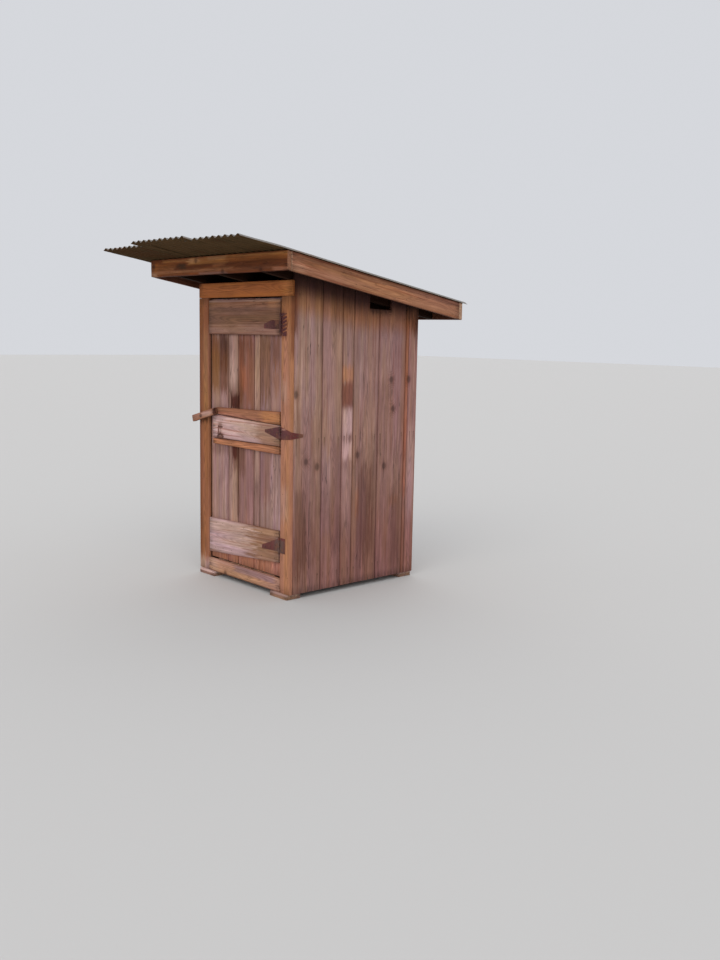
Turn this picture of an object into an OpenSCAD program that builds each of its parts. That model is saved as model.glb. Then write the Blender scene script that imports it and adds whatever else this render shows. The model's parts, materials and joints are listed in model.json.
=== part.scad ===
// Small wooden outhouse of rough boards with a single-pitch roof of corrugated sheets.
// +X is to the right seen from the door, the door faces -Y, +Z is up.
// The origin is on the ground under the middle of the four walls.

/* [Body] */
// Width over the outer faces of the side boards
body_w = 1088; // [950:1:1250]
// Depth from the front trim face to the rear board face
body_d = 1172; // [1100:1:1300]
// Height of the foot blocks that keep the sills off the earth
foot_h = 35; // [20:1:80]
// Height of the runners and joists
runner_h = 75; // [60:1:100]
// Thickness of every rough board
board_t = 22; // [18:1:28]
// Gap left between neighbouring boards
board_gap = 3; // [1:0.5:6]
// Side of the square corner posts
post_s = 89; // [70:1:100]
// Thickness of girts, plates and joists
rail_t = 38; // [32:1:45]
// Depth of girts and plates
rail_h = 89; // [70:1:100]

/* [Doorway] */
// Width of the left front trim
left_trim_w = 119; // [90:1:130]
// Width of the right front trim
right_trim_w = 113; // [90:1:130]
// Height of the doorway's head above the ground
head_z = 2033; // [1900:1:2100]
// Height of the header board
header_h = 104; // [80:1:140]
// Clearance between the door and what surrounds it
door_gap = 6; // [5:0.5:10]

/* [Roof] */
// Fall of the roof from the door to the rear
roof_pitch = 9.5; // [6:0.1:11]
// Depth of the rafters
rafter_h = 98; // [80:1:110]
// Width of the rafters
rafter_w = 50; // [38:1:60]
// Overhang of the front fascia beyond the front wall
front_eave = 231; // [150:1:300]
// Overhang of the rear fascia beyond the rear wall
rear_eave = 202; // [120:1:280]
// Overhang of the right barge board beyond the right wall
right_eave = 243; // [150:1:300]
// Overhang of the left barge board beyond the left wall
left_eave = 279; // [150:1:320]
// Thickness of the fascia and barge boards
fascia_t = 32; // [22:1:40]
// Width of the purlins
purlin_w = 89; // [60:1:120]
// Number of purlins
purlin_count = 4; // [3:1:6]

/* [Sheets] */
// Width of one corrugated sheet
sheet_w = 660; // [600:1:700]
// Distance between two crests
wave_pitch = 66; // [60:1:80]
// Height of a crest over a valley
wave_h = 16; // [10:1:20]
// Thickness of the sheet metal
sheet_t = 2; // [1:0.5:3]
// Straight pieces in one wave
wave_steps = 8; // [6:2:12]
// Front ends of the left, middle and right sheets beyond the front wall
sheet_fronts = [560, 640, 590]; // [300:1:700]
// Least run of the left sheet past the left barge board
sheet_left_eave = 60; // [20:1:120]
// Run of the right sheet past the right barge board
sheet_right_eave = 8; // [0:1:40]
// Run of the sheets past the rear fascia
sheet_rear = 45; // [20:1:80]

/* [Door] */
// Widths of the door boards from the latch side, all but the last
door_widths = [217, 121, 187, 68]; // [50:1:230]
// Height of the batten across the door's top
top_batten_h = 241; // [180:1:260]
// Top edge of that batten below the door's top
top_batten_drop = 9; // [0:1:40]
// Gap between the battens' hinge ends and the door's edge
batten_inset = 8; // [4:1:20]
// Upper edge of the middle rail above the door's foot, at the latch and at the hinges
rail_high = [1066, 1042]; // [1000:1:1080]
// Lower edge of the middle rail, at the latch and at the hinges
rail_low = [895, 903]; // [870:1:960]
// Height of the strip over the rail, at the latch and at the hinges
upper_strip_h = [49, 90]; // [20:1:110]
// Height of the strip under the rail, at the latch and at the hinges
lower_strip_h = [40, 54]; // [20:1:80]
// Upper edge of the bottom batten, at the latch and at the hinges
foot_high = [298, 324]; // [200:1:400]
// Lower edge of the bottom batten, at the latch and at the hinges
foot_low = [39, 102]; // [0:1:150]
// Latch end of the middle rail and the lower strip from the door's edge
rail_inset = 48; // [20:1:100]
// Latch end of the upper strip from the door's edge
strip_inset = 86; // [20:1:120]
// Height of the door pull's bar
pull_h = 62; // [50:1:90]
// Drop of the bar's middle below the rail's middle
pull_drop = 26; // [0:1:40]
// Place of the door pull past the rail's latch end
pull_inset = 95; // [60:1:160]
// Radius of the door pull's bar
pull_r = 4; // [3:0.5:6]
// Reach of the door pull
pull_reach = 22; // [20:1:45]
// Thickness of its flattened ends
pull_t = 3; // [2:0.5:4]
// Width and height of the plate at its head
pull_plate = [56, 12]; // [8:1:80]
// Spread and drop of its two feet
pull_foot = [82, 26]; // [10:1:110]

/* [Turn button] */
// Tilt of the turn button where it holds the door
button_tilt = 14.4; // [0:0.1:30]
// Length of the turn button
button_l = 305; // [240:1:340]
// Place of the button's middle past its bolt, towards the door
button_offset = 33; // [0:1:60]
// Width of the turn button
button_w = 50; // [40:1:60]
// Thickness of the turn button
button_t = 25; // [20:1:32]
// Height of its bolt above the door's foot
button_rise = 1047; // [900:1:1200]
// Gap behind the button, held by a washer
button_gap = 5; // [5:0.5:10]
// Radius of its bolt
bolt_r = 5; // [4:0.5:8]
// Radius of the washers
washer_r = 14; // [10:1:18]

/* [Hinges] */
// Radius of a hinge pin
pin_r = 3; // [2:0.5:4]
// Radial clearance of a pin in its knuckle
pin_play = 0.05; // [0.02:0.01:0.1]
// Outer radius of a knuckle
knuckle_r = 6; // [5:0.5:8]
// Thickness of the hinge iron
iron_t = 3; // [2:0.5:4]
// Bottom hinge above the door's foot
low_hinge_rise = 228; // [150:1:300]
// Middle hinge above the door's foot
mid_hinge_rise = 992; // [930:1:1010]
// Top hinge below the door's top
top_hinge_drop = 178; // [100:1:200]
// Height of the top, middle and bottom knuckles
knuckle_h = [148, 84, 104]; // [50:1:160]
// Reach of the top, middle and bottom straps from the hinge axis
strap_l = [183, 168, 194]; // [120:1:250]
// Reach of the straps' full width, where their taper starts
strap_full_l = [103, 12, 12]; // [10:1:110]
// Width of the straps at their roots
strap_root_h = [58, 84, 88]; // [40:1:120]
// Width of the straps at their tips
strap_tip_h = [29, 17, 26]; // [15:1:50]
// Sag of the straps' tips, below zero where a tip points up
strap_sag = [11, -4, 40]; // [-30:1:60]
// Width of the leaves of the top and bottom hinges
leaf_w = 60; // [40:1:80]
// Number of slots in the top hinge's leaf
leaf_slots = 5; // [0:1:6]
// Width of those slots
slot_h = 11; // [4:1:14]
// Tilt of those slots, rising outward
slot_tilt = 18; // [0:1:30]
// Run of the middle hinge's leaf round the corner
leaf_wrap = 100; // [60:1:120]
// Height of that leaf at the corner and at its tip
leaf_wrap_h = [48, 20]; // [15:1:70]
// Sag of that leaf at the corner and at its tip
leaf_wrap_sag = [8, 12]; // [0:1:20]

/* [Hidden] */
$fn = 48;

// Planes of the walls
front_y = -body_d / 2;
rear_y = body_d / 2;
side_x = body_w / 2;
frame_x = side_x - board_t;
frame_front_y = front_y + board_t;
frame_rear_y = rear_y - board_t;

// Levels of the floor
joist_top = foot_h + runner_h;
floor_top = joist_top + board_t;
door_bottom = floor_top + door_gap;
door_top = head_z - door_gap;

// Edges of the doorway and of the door in it
way_left = left_trim_w - side_x;
way_right = side_x - right_trim_w;
door_left = way_left + door_gap;
door_right = way_right - door_gap;
door_face_y = front_y + board_t;
door_back_y = door_face_y + board_t;

// Roof plane under the sheets, which falls towards +Y
header_top = head_z + header_h;
fascia_h = rafter_h + board_t;
roof_front_y = front_y - front_eave;
roof_rear_y = rear_y + rear_eave;
roof_fall = tan(roof_pitch);
roof_front_z = header_top + fascia_h + (front_eave + board_t) * roof_fall;
roof_left_x = -side_x - left_eave;
roof_right_x = side_x + right_eave;
function roof_z(y) = roof_front_z - (y - roof_front_y) * roof_fall;
purlin_drop = board_t / cos(roof_pitch);
function rafter_under(y) = roof_z(y) - fascia_h;

// Widths of the wall boards, from the front or from the left
side_widths = [245, 179, 104, 237, 265, 32];
rear_widths = [212, 178, 146, 224, 108];

// Vent that short boards leave under the outer rafter of each side wall
vent_y = [101, 314];
vent_z = rafter_under(vent_y[0]) - 73;

// Hinge side end of the boards nailed across the door
batten_right = door_right - batten_inset;
rail_left = door_left + rail_inset;

// Sum of the first n entries of a list
function sum_to(list, n) = n <= 0 ? 0 : list[n - 1] + sum_to(list, n - 1);

// Block between two opposite corners
module block(low, high) {
    translate(low)
        cube(high - low);
}

// Outline in the YZ plane, extruded along X from x
module along_x(x, length, outline) {
    translate([x, 0, 0])
        rotate([90, 0, 90])
            linear_extrude(length)
                polygon(outline);
}

// Outline in the XZ plane, with its front at y
module along_y(y, depth, outline) {
    translate([0, y + depth, 0])
        rotate([90, 0, 0])
            linear_extrude(depth)
                polygon(outline);
}

// Board under the roof plane with plumb ends
module roof_board(x, width, y1, y2, drop, depth) {
    along_x(x, width, [
        [y1, roof_z(y1) - drop - depth],
        [y2, roof_z(y2) - drop - depth],
        [y2, roof_z(y2) - drop],
        [y1, roof_z(y1) - drop]
    ]);
}

// Blocks under the four corners and the middle of the floor
module foot_blocks() {
    length = 190;
    width = 120;
    spots = [
        [16 - side_x, front_y - 14], [side_x - 16 - length, front_y - 14],
        [16 - side_x, rear_y - width], [side_x - 16 - length, rear_y - width],
        [-length / 2, -width / 2]
    ];
    color("rosybrown")
        for (spot = spots)
            block([spot.x, spot.y, 0], [spot.x + length, spot.y + width, foot_h]);
}

// Runners under both side walls
module runners() {
    color("saddlebrown")
        for (x = [-frame_x, frame_x - post_s])
            block([x, frame_front_y, foot_h], [x + post_s, frame_rear_y, joist_top]);
}

// Joists between the runners
module joists() {
    inner = frame_x - post_s;
    color("saddlebrown")
        for (y = [frame_front_y, -rail_t / 2, frame_rear_y - rail_t])
            block([-inner, y, foot_h], [inner, y + rail_t, joist_top]);
}

// Floor boards from front to rear, the outer ones cut between the posts
module floor_boards() {
    count = 7;
    half = frame_x - rail_t - board_gap;
    pitch = 2 * half / count;
    color("peru")
        for (i = [0 : count - 1]) {
            outer = i == 0 || i == count - 1;
            reach = outer ? frame_rear_y - post_s - board_gap : frame_rear_y - board_gap;
            x = -half + i * pitch;
            block([x, -reach, joist_top], [x + pitch - board_gap, reach, floor_top]);
        }
}

// Board under the door that closes the floor's front
module kick_board() {
    color("burlywood")
        block([way_left, front_y, foot_h], [way_right, frame_front_y, floor_top]);
}

// Corner post between its runner and the plate
module post(left, front) {
    x = left ? -frame_x : frame_x - post_s;
    y = front ? frame_front_y : frame_rear_y - post_s;
    top = front ? rafter_under(frame_front_y + rail_t) : rafter_under(frame_rear_y);
    color("sienna")
        block([x, y, joist_top], [x + post_s, y + post_s, top - rail_h]);
}

module front_left_post() {
    post(true, true);
}

module front_right_post() {
    post(false, true);
}

module rear_left_post() {
    post(true, false);
}

module rear_right_post() {
    post(false, false);
}

// Rails that the side boards are nailed to
module side_girts(x) {
    half = frame_rear_y - post_s;
    mid_z = 1050;
    color("sienna")
        for (z = [joist_top, mid_z])
            block([x, -half, z], [x + rail_t, half, z + rail_h]);
}

module left_girts() {
    side_girts(-frame_x);
}

module right_girts() {
    side_girts(frame_x - rail_t);
}

// Rail that the rear boards are nailed to
module rear_girt() {
    half = frame_x - post_s;
    mid_z = 1050;
    color("sienna")
        block([-half, frame_rear_y - rail_t, mid_z], [half, frame_rear_y, mid_z + rail_h]);
}

// Plate over two posts, its top cut to the rafters' fall
module plate(y) {
    low = rafter_under(y + rail_t) - rail_h;
    color("sienna")
        along_x(-frame_x, 2 * frame_x, [
            [y, low],
            [y + rail_t, low],
            [y + rail_t, rafter_under(y + rail_t)],
            [y, rafter_under(y)]
        ]);
}

module front_plate() {
    plate(frame_front_y);
}

module rear_plate() {
    plate(frame_rear_y - rail_t);
}

// Strip that the door closes towards, nailed to the latch post
module door_stop() {
    y = door_back_y + door_gap;
    x = post_s - frame_x;
    color("tan")
        block([x, y, floor_top], [x + rail_t, y + board_t, head_z]);
}

module left_trim() {
    color("peru")
        block([-side_x, front_y, foot_h], [way_left, frame_front_y, head_z]);
}

module right_trim() {
    color("peru")
        block([way_right, front_y, foot_h], [side_x, frame_front_y, head_z]);
}

module header_board() {
    color("peru")
        block([-side_x, front_y, head_z], [side_x, frame_front_y, header_top]);
}

// Upright boards of one side wall, lapped on the outer rafter at the top
module side_boards(x) {
    lap = 60;
    length = frame_rear_y + board_t - frame_front_y;
    widths = concat(side_widths, [length - sum_to(side_widths, len(side_widths))]);
    color("rosybrown")
        difference() {
            for (i = [0 : len(widths) - 1]) {
                y1 = frame_front_y + sum_to(widths, i);
                y2 = y1 + widths[i] - (i < len(widths) - 1 ? board_gap : 0);
                along_x(x, board_t, [
                    [y1, foot_h],
                    [y2, foot_h],
                    [y2, rafter_under(y2) + lap],
                    [y1, rafter_under(y1) + lap]
                ]);
            }
            block([x - 1, vent_y[0], vent_z], [x + board_t + 1, vent_y[1], roof_front_z]);
        }
}

module left_wall_boards() {
    side_boards(-side_x);
}

module right_wall_boards() {
    side_boards(frame_x);
}

// Upright boards of the rear wall, between the side boards
module rear_wall_boards() {
    widths = concat(rear_widths, [2 * frame_x - sum_to(rear_widths, len(rear_widths))]);
    color("rosybrown")
        for (i = [0 : len(widths) - 1]) {
            x1 = -frame_x + sum_to(widths, i);
            x2 = x1 + widths[i] - (i < len(widths) - 1 ? board_gap : 0);
            block([x1, frame_rear_y, foot_h], [x2, rear_y, rafter_under(rear_y)]);
        }
}

// Rafters from fascia to fascia, over the side walls and the middle
module rafters() {
    y1 = roof_front_y + fascia_t;
    y2 = roof_rear_y - fascia_t;
    color("sienna")
        for (x = [-frame_x, -rafter_w / 2, frame_x - rafter_w])
            roof_board(x, rafter_w, y1, y2, purlin_drop, fascia_h - purlin_drop);
}

// Purlins laid flat over the rafters, from barge board to barge board
module purlins() {
    y1 = roof_front_y + fascia_t + purlin_w;
    y2 = roof_rear_y - fascia_t - purlin_w;
    length = roof_right_x - roof_left_x - 2 * fascia_t;
    color("peru")
        for (i = [0 : purlin_count - 1]) {
            y = y1 + (y2 - y1) * i / (purlin_count - 1);
            translate([roof_left_x + fascia_t, y, roof_z(y)])
                rotate([-roof_pitch, 0, 0])
                    translate([0, -purlin_w / 2, -board_t])
                        cube([length, purlin_w, board_t]);
        }
}

module front_fascia() {
    color("chocolate")
        roof_board(roof_left_x, roof_right_x - roof_left_x,
            roof_front_y, roof_front_y + fascia_t, 0, fascia_h);
}

module rear_fascia() {
    color("chocolate")
        roof_board(roof_left_x, roof_right_x - roof_left_x,
            roof_rear_y - fascia_t, roof_rear_y, 0, fascia_h);
}

module barge(x) {
    color("chocolate")
        roof_board(x, fascia_t, roof_front_y + fascia_t, roof_rear_y - fascia_t, 0, fascia_h);
}

module left_barge_board() {
    barge(roof_left_x);
}

module right_barge_board() {
    barge(roof_right_x - fascia_t);
}

// Corrugated sheet laid down the roof, at lift over the roof plane
module roof_sheet(x, front, lift) {
    y1 = front_y - front;
    length = (roof_rear_y + sheet_rear - y1) / cos(roof_pitch);
    steps = round(sheet_w / wave_pitch * wave_steps);
    function wave(i) = wave_h / 2 * (1 - cos(360 * i / wave_steps));
    lower = [for (i = [0 : steps]) [i * wave_pitch / wave_steps, wave(i)]];
    upper = [for (i = [steps : -1 : 0]) [i * wave_pitch / wave_steps, wave(i) + sheet_t]];
    color("darkgray")
        translate([x, y1, roof_z(y1)])
            rotate([-roof_pitch, 0, 0])
                translate([0, length, lift])
                    rotate([90, 0, 0])
                        linear_extrude(length)
                            polygon(concat(lower, upper));
}

// The sheets lap by whole waves, and the right one ends just past the barge board
sheet_span = roof_right_x - roof_left_x + sheet_left_eave + sheet_right_eave;
sheet_step = wave_pitch * ceil((sheet_span - sheet_w) / 2 / wave_pitch);
sheet_left_x = roof_right_x + sheet_right_eave - sheet_w - 2 * sheet_step;
sheet_play = 0.3;

module left_roof_sheet() {
    roof_sheet(sheet_left_x, sheet_fronts[0], 0);
}

module middle_roof_sheet() {
    roof_sheet(sheet_left_x + sheet_step, sheet_fronts[1], sheet_t + sheet_play);
}

module right_roof_sheet() {
    roof_sheet(sheet_left_x + 2 * sheet_step, sheet_fronts[2], 0);
}

// Upright boards of the door
module door_boards() {
    rest = door_right - door_left - sum_to(door_widths, len(door_widths));
    widths = concat(door_widths, [rest]);
    color("rosybrown")
        for (i = [0 : len(widths) - 1]) {
            x1 = door_left + sum_to(widths, i);
            x2 = x1 + widths[i] - (i < len(widths) - 1 ? board_gap : 0);
            block([x1, door_face_y, door_bottom], [x2, door_back_y, door_top]);
        }
}

// Board across the door's outer face, from x1 to its hinge side end.
// low and high are its edges above the door's foot at both ends.
module cross_board(x1, low, high) {
    along_y(front_y, board_t, [
        [x1, door_bottom + low[0]],
        [batten_right, door_bottom + low[1]],
        [batten_right, door_bottom + high[1]],
        [x1, door_bottom + high[0]]
    ]);
}

module top_batten() {
    high = door_top - door_bottom - top_batten_drop;
    low = high - top_batten_h;
    color("rosybrown")
        cross_board(door_left, [low, low], [high, high]);
}

module upper_rail_strip() {
    low = [for (edge = rail_high) edge + board_gap];
    color("burlywood")
        cross_board(door_left + strip_inset, low, low + upper_strip_h);
}

module middle_rail() {
    color("antiquewhite")
        cross_board(rail_left, rail_low, rail_high);
}

module lower_rail_strip() {
    high = [for (edge = rail_low) edge - board_gap];
    color("burlywood")
        cross_board(rail_left, high - lower_strip_h, high);
}

module bottom_batten() {
    color("antiquewhite")
        cross_board(door_left, foot_low, foot_high);
}

// Bent iron bar that the door is pulled by, nailed to the middle rail.
// Its head is beaten out into a plate, and its foot is split and spread into two feet.
module door_pull() {
    x = rail_left + pull_inset;
    mid_z = door_bottom + (rail_low[0] + rail_high[0]) / 2 - pull_drop;
    low_z = mid_z - pull_h / 2 + pull_r;
    high_z = mid_z + pull_h / 2 - pull_r;
    y = front_y - pull_reach + pull_r;
    plate = pull_plate / 2;
    spread = pull_foot[0] / 2;
    toe = pull_plate[1];
    color("dimgray") {
        for (z = [low_z, high_z]) {
            translate([x, front_y, z])
                rotate([90, 0, 0])
                    cylinder(h = pull_reach - pull_r, r = pull_r);
            translate([x, y, z])
                sphere(r = pull_r);
        }
        translate([x, y, low_z])
            cylinder(h = high_z - low_z, r = pull_r);
        block([x - plate[0], front_y - pull_t, high_z - plate[1]],
            [x + plate[0], front_y, high_z + plate[1]]);
        along_y(front_y - pull_t, pull_t, [
            [x, low_z + toe],
            [x - spread, low_z - pull_foot[1] + toe],
            [x - spread + toe / 2, low_z - pull_foot[1]],
            [x, low_z],
            [x + spread - toe / 2, low_z - pull_foot[1]],
            [x + spread, low_z - pull_foot[1] + toe]
        ]);
    }
}

// Axis of all three hinges, with the knuckles proud of the trim
axis_x = (door_right + way_right) / 2;
axis_y = front_y - knuckle_r;
knuckle_gap = 1;
neck = knuckle_r + 3;
hinge_z = [
    door_top - top_hinge_drop,
    door_bottom + mid_hinge_rise,
    door_bottom + low_hinge_rise
];
function mid_knuckle(h) = h / 2.6;
function end_knuckle(h) = (h - mid_knuckle(h)) / 2 - knuckle_gap;

// Knuckle of height h around the hinge axis
module knuckle(z, h) {
    translate([axis_x, axis_y, z])
        cylinder(h = h, r = knuckle_r);
}

// Door side of hinge i: the middle knuckle and a tapering strap
module hinge_strap(i) {
    z = hinge_z[i];
    half = strap_root_h[i] / 2;
    inner = mid_knuckle(knuckle_h[i]) / 2;
    full_x = axis_x - strap_full_l[i];
    tip_x = axis_x - strap_l[i];
    tip_z = z - strap_sag[i];
    tip = strap_tip_h[i] / 2;
    color("dimgray")
        difference() {
            union() {
                knuckle(z - inner, 2 * inner);
                along_y(front_y - iron_t, iron_t, [
                    [axis_x, z - inner],
                    [axis_x, z + inner],
                    [axis_x - neck, z + inner],
                    [axis_x - neck, z + half],
                    [full_x, z + half],
                    [tip_x, tip_z + tip],
                    [tip_x, tip_z - tip],
                    [full_x, z - half],
                    [axis_x - neck, z - half],
                    [axis_x - neck, z - inner]
                ]);
            }
            translate([axis_x, axis_y, z - inner])
                cylinder(h = 2 * inner, r = pin_r + pin_play);
        }
}

// Frame side of hinge i: two outer knuckles, the pin and a leaf on the trim.
// The leaf is edge_h high at its outer edge, which lies lower by edge_sag.
module hinge_plate(i, width, edge_h, edge_sag = 0) {
    z = hinge_z[i];
    half = knuckle_h[i] / 2;
    outer = end_knuckle(knuckle_h[i]);
    pin_end = 2;
    color("dimgray") {
        knuckle(z - half, outer);
        knuckle(z + half - outer, outer);
        translate([axis_x, axis_y, z - half - pin_end])
            cylinder(h = 2 * (half + pin_end), r = pin_r);
        along_y(front_y - iron_t, iron_t, [
            [axis_x, z - half],
            [axis_x + neck, z - half],
            [axis_x + width, z - edge_sag - edge_h / 2],
            [axis_x + width, z - edge_sag + edge_h / 2],
            [axis_x + neck, z + half],
            [axis_x, z + half],
            [axis_x, z + half - outer],
            [axis_x + neck, z + half - outer],
            [axis_x + neck, z - half + outer],
            [axis_x, z - half + outer]
        ]);
    }
}

module top_hinge_strap() {
    hinge_strap(0);
}

module middle_hinge_strap() {
    hinge_strap(1);
}

module bottom_hinge_strap() {
    hinge_strap(2);
}

// The top hinge's leaf is cut into fingers by slots that slant up to its outer edge
module top_hinge_plate() {
    slot_pitch = knuckle_h[0] / (leaf_slots + 1);
    slot_root_x = axis_x + 2 * neck;
    color("dimgray")
        difference() {
            hinge_plate(0, leaf_w, knuckle_h[0]);
            for (i = [1 : leaf_slots])
                translate([slot_root_x, front_y - 2 * iron_t, hinge_z[0] - knuckle_h[0] / 2 + i * slot_pitch])
                    rotate([0, -slot_tilt, 0])
                        translate([0, 0, -slot_h / 2])
                            cube([leaf_w, 3 * iron_t, slot_h]);
        }
}

// The middle hinge has a long leaf that is bent round the corner
module middle_hinge_plate() {
    z = hinge_z[1];
    y1 = front_y - iron_t;
    y2 = front_y + leaf_wrap;
    z1 = z - leaf_wrap_sag[0];
    z2 = z - leaf_wrap_sag[1];
    hinge_plate(1, side_x + iron_t - axis_x, leaf_wrap_h[0], leaf_wrap_sag[0]);
    color("dimgray")
        along_x(side_x, iron_t, [
            [y1, z1 - leaf_wrap_h[0] / 2],
            [y2, z2 - leaf_wrap_h[1] / 2],
            [y2, z2 + leaf_wrap_h[1] / 2],
            [y1, z1 + leaf_wrap_h[0] / 2]
        ]);
}

module bottom_hinge_plate() {
    hinge_plate(2, leaf_w, knuckle_h[2]);
}

// Turn button of scrap wood, which turns on a bolt through the left trim
button_x = way_left - left_trim_w / 2;
button_z = door_bottom + button_rise;

module turn_button() {
    color("tan")
        translate([button_x, front_y - button_gap, button_z])
            rotate([0, -button_tilt, 0])
                difference() {
                    block([button_offset - button_l / 2, -button_t, -button_w / 2],
                        [button_offset + button_l / 2, 0, button_w / 2]);
                    translate([0, 1, 0])
                        rotate([90, 0, 0])
                            cylinder(h = button_t + 2, r = bolt_r + pin_play);
                }
}

// Bolt with a washer on each side of the turn button
module button_bolt() {
    play = 0.5;
    washer_t = 2;
    head_h = 6;
    out = button_gap + button_t + play;
    color("dimgray")
        translate([button_x, front_y, button_z])
            rotate([90, 0, 0]) {
                cylinder(h = out + washer_t + head_h, r = bolt_r);
                cylinder(h = button_gap - play, r = washer_r);
                translate([0, 0, out])
                    cylinder(h = washer_t, r = washer_r);
                translate([0, 0, out + washer_t])
                    cylinder(h = head_h, r = 1.7 * bolt_r, $fn = 6);
            }
}

foot_blocks();
runners();
joists();
floor_boards();
kick_board();
front_left_post();
front_right_post();
rear_left_post();
rear_right_post();
left_girts();
right_girts();
rear_girt();
front_plate();
rear_plate();
door_stop();
left_trim();
right_trim();
header_board();
left_wall_boards();
right_wall_boards();
rear_wall_boards();
rafters();
purlins();
front_fascia();
rear_fascia();
left_barge_board();
right_barge_board();
left_roof_sheet();
middle_roof_sheet();
right_roof_sheet();
door_boards();
top_batten();
upper_rail_strip();
middle_rail();
lower_rail_strip();
bottom_batten();
door_pull();
top_hinge_strap();
middle_hinge_strap();
bottom_hinge_strap();
top_hinge_plate();
middle_hinge_plate();
bottom_hinge_plate();
turn_button();
button_bolt();
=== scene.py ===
import itertools
import json
import math
import random

import bmesh
import bpy
from mathutils import Matrix, Vector
from mathutils.kdtree import KDTree


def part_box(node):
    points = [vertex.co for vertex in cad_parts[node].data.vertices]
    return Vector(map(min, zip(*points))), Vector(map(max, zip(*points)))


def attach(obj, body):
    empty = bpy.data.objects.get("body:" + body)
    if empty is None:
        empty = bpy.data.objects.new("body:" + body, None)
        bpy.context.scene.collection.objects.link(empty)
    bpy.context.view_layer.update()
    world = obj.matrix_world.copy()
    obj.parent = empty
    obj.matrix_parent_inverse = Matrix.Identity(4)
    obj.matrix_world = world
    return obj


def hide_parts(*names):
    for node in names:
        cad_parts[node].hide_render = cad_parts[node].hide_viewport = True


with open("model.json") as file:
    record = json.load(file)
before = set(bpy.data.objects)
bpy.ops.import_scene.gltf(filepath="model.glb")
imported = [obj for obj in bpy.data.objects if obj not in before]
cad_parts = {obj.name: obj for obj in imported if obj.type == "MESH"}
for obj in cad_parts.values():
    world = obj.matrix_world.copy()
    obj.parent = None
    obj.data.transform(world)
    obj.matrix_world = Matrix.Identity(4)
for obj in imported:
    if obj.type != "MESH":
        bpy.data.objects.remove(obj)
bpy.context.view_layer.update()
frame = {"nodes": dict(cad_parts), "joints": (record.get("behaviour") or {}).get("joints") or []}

random.seed(11)

# Camera at eye height, about 48 degrees round to the right of the door.
# The picture is 720 by 960, so the sensor's height is the long side.
right = Vector((0.67316, 0.73926, 0.01903))
up = Vector((-0.12056, 0.08432, 0.98912))
ahead = Vector((-0.72961, 0.66813, -0.14589))
lens = bpy.data.cameras.new("camera")
lens.sensor_fit = "VERTICAL"
lens.sensor_height = 36
lens.lens = 36.977
camera = bpy.data.objects.new("camera", lens)
turned = Matrix((right, up, -ahead)).transposed().to_4x4()
camera.matrix_world = Matrix.Translation((5.6376, -4.6258, 1.7940)) @ turned
bpy.context.collection.objects.link(camera)
bpy.context.scene.camera = camera

# Studio: a plain pale floor that runs to the horizon, a pale sky and two wide soft lamps.
# The key lamp stands between the door side and the right side, so that both are lit alike.
bpy.context.scene.view_settings.view_transform = "Standard"
sky = bpy.data.worlds.new("studio")
sky.use_nodes = True
sky.node_tree.nodes["Background"].inputs["Color"].default_value = (0.93, 0.95, 1, 1)
sky.node_tree.nodes["Background"].inputs["Strength"].default_value = 0.72
bpy.context.scene.world = sky


def soft_lamp(name, place, spread, power):
    lamp = bpy.data.lights.new(name, "SUN")
    lamp.angle = math.radians(spread)
    lamp.energy = power
    lamp.color = (1, 0.97, 0.93)
    stand = bpy.data.objects.new(name, lamp)
    stand.location = place
    stand.rotation_euler = (-Vector(place)).to_track_quat("-Z", "Y").to_euler()
    bpy.context.collection.objects.link(stand)


soft_lamp("key", (5.5, -6.5, 5.5), 70, 1.5)
soft_lamp("back", (-5, 4.5, 5), 80, 0.7)

floor_mesh = bpy.data.meshes.new("floor")
floor_mesh.from_pydata([(-60, -60, 0), (60, -60, 0), (60, 60, 0), (-60, 60, 0)], [], [(0, 1, 2, 3)])
floor_look = bpy.data.materials.new("floor")
floor_look.use_nodes = True
floor_look.node_tree.nodes["Principled BSDF"].inputs["Base Color"].default_value = (0.56, 0.555, 0.545, 1)
floor_look.node_tree.nodes["Principled BSDF"].inputs["Roughness"].default_value = 0.9
floor_mesh.materials.append(floor_look)
floor = bpy.data.objects.new("floor", floor_mesh)
bpy.context.collection.objects.link(floor)


# Foot blocks: five offcuts of rough plank that lie flat on the earth under the corners and the middle.
# They carry the hut's weight and nothing fixes them. Grey with dust, the front left one pale and pinkish.
roof_slope = math.radians(9.5)
roof_fall = math.tan(roof_slope)
# The heights at which the planes of the fascia's top and of the walls' tops cross y = 0.
roof_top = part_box("front_fascia")[1].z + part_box("front_fascia")[0].y * roof_fall
wall_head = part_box("right_wall_boards")[1].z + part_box("right_wall_boards")[0].y * roof_fall


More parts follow.
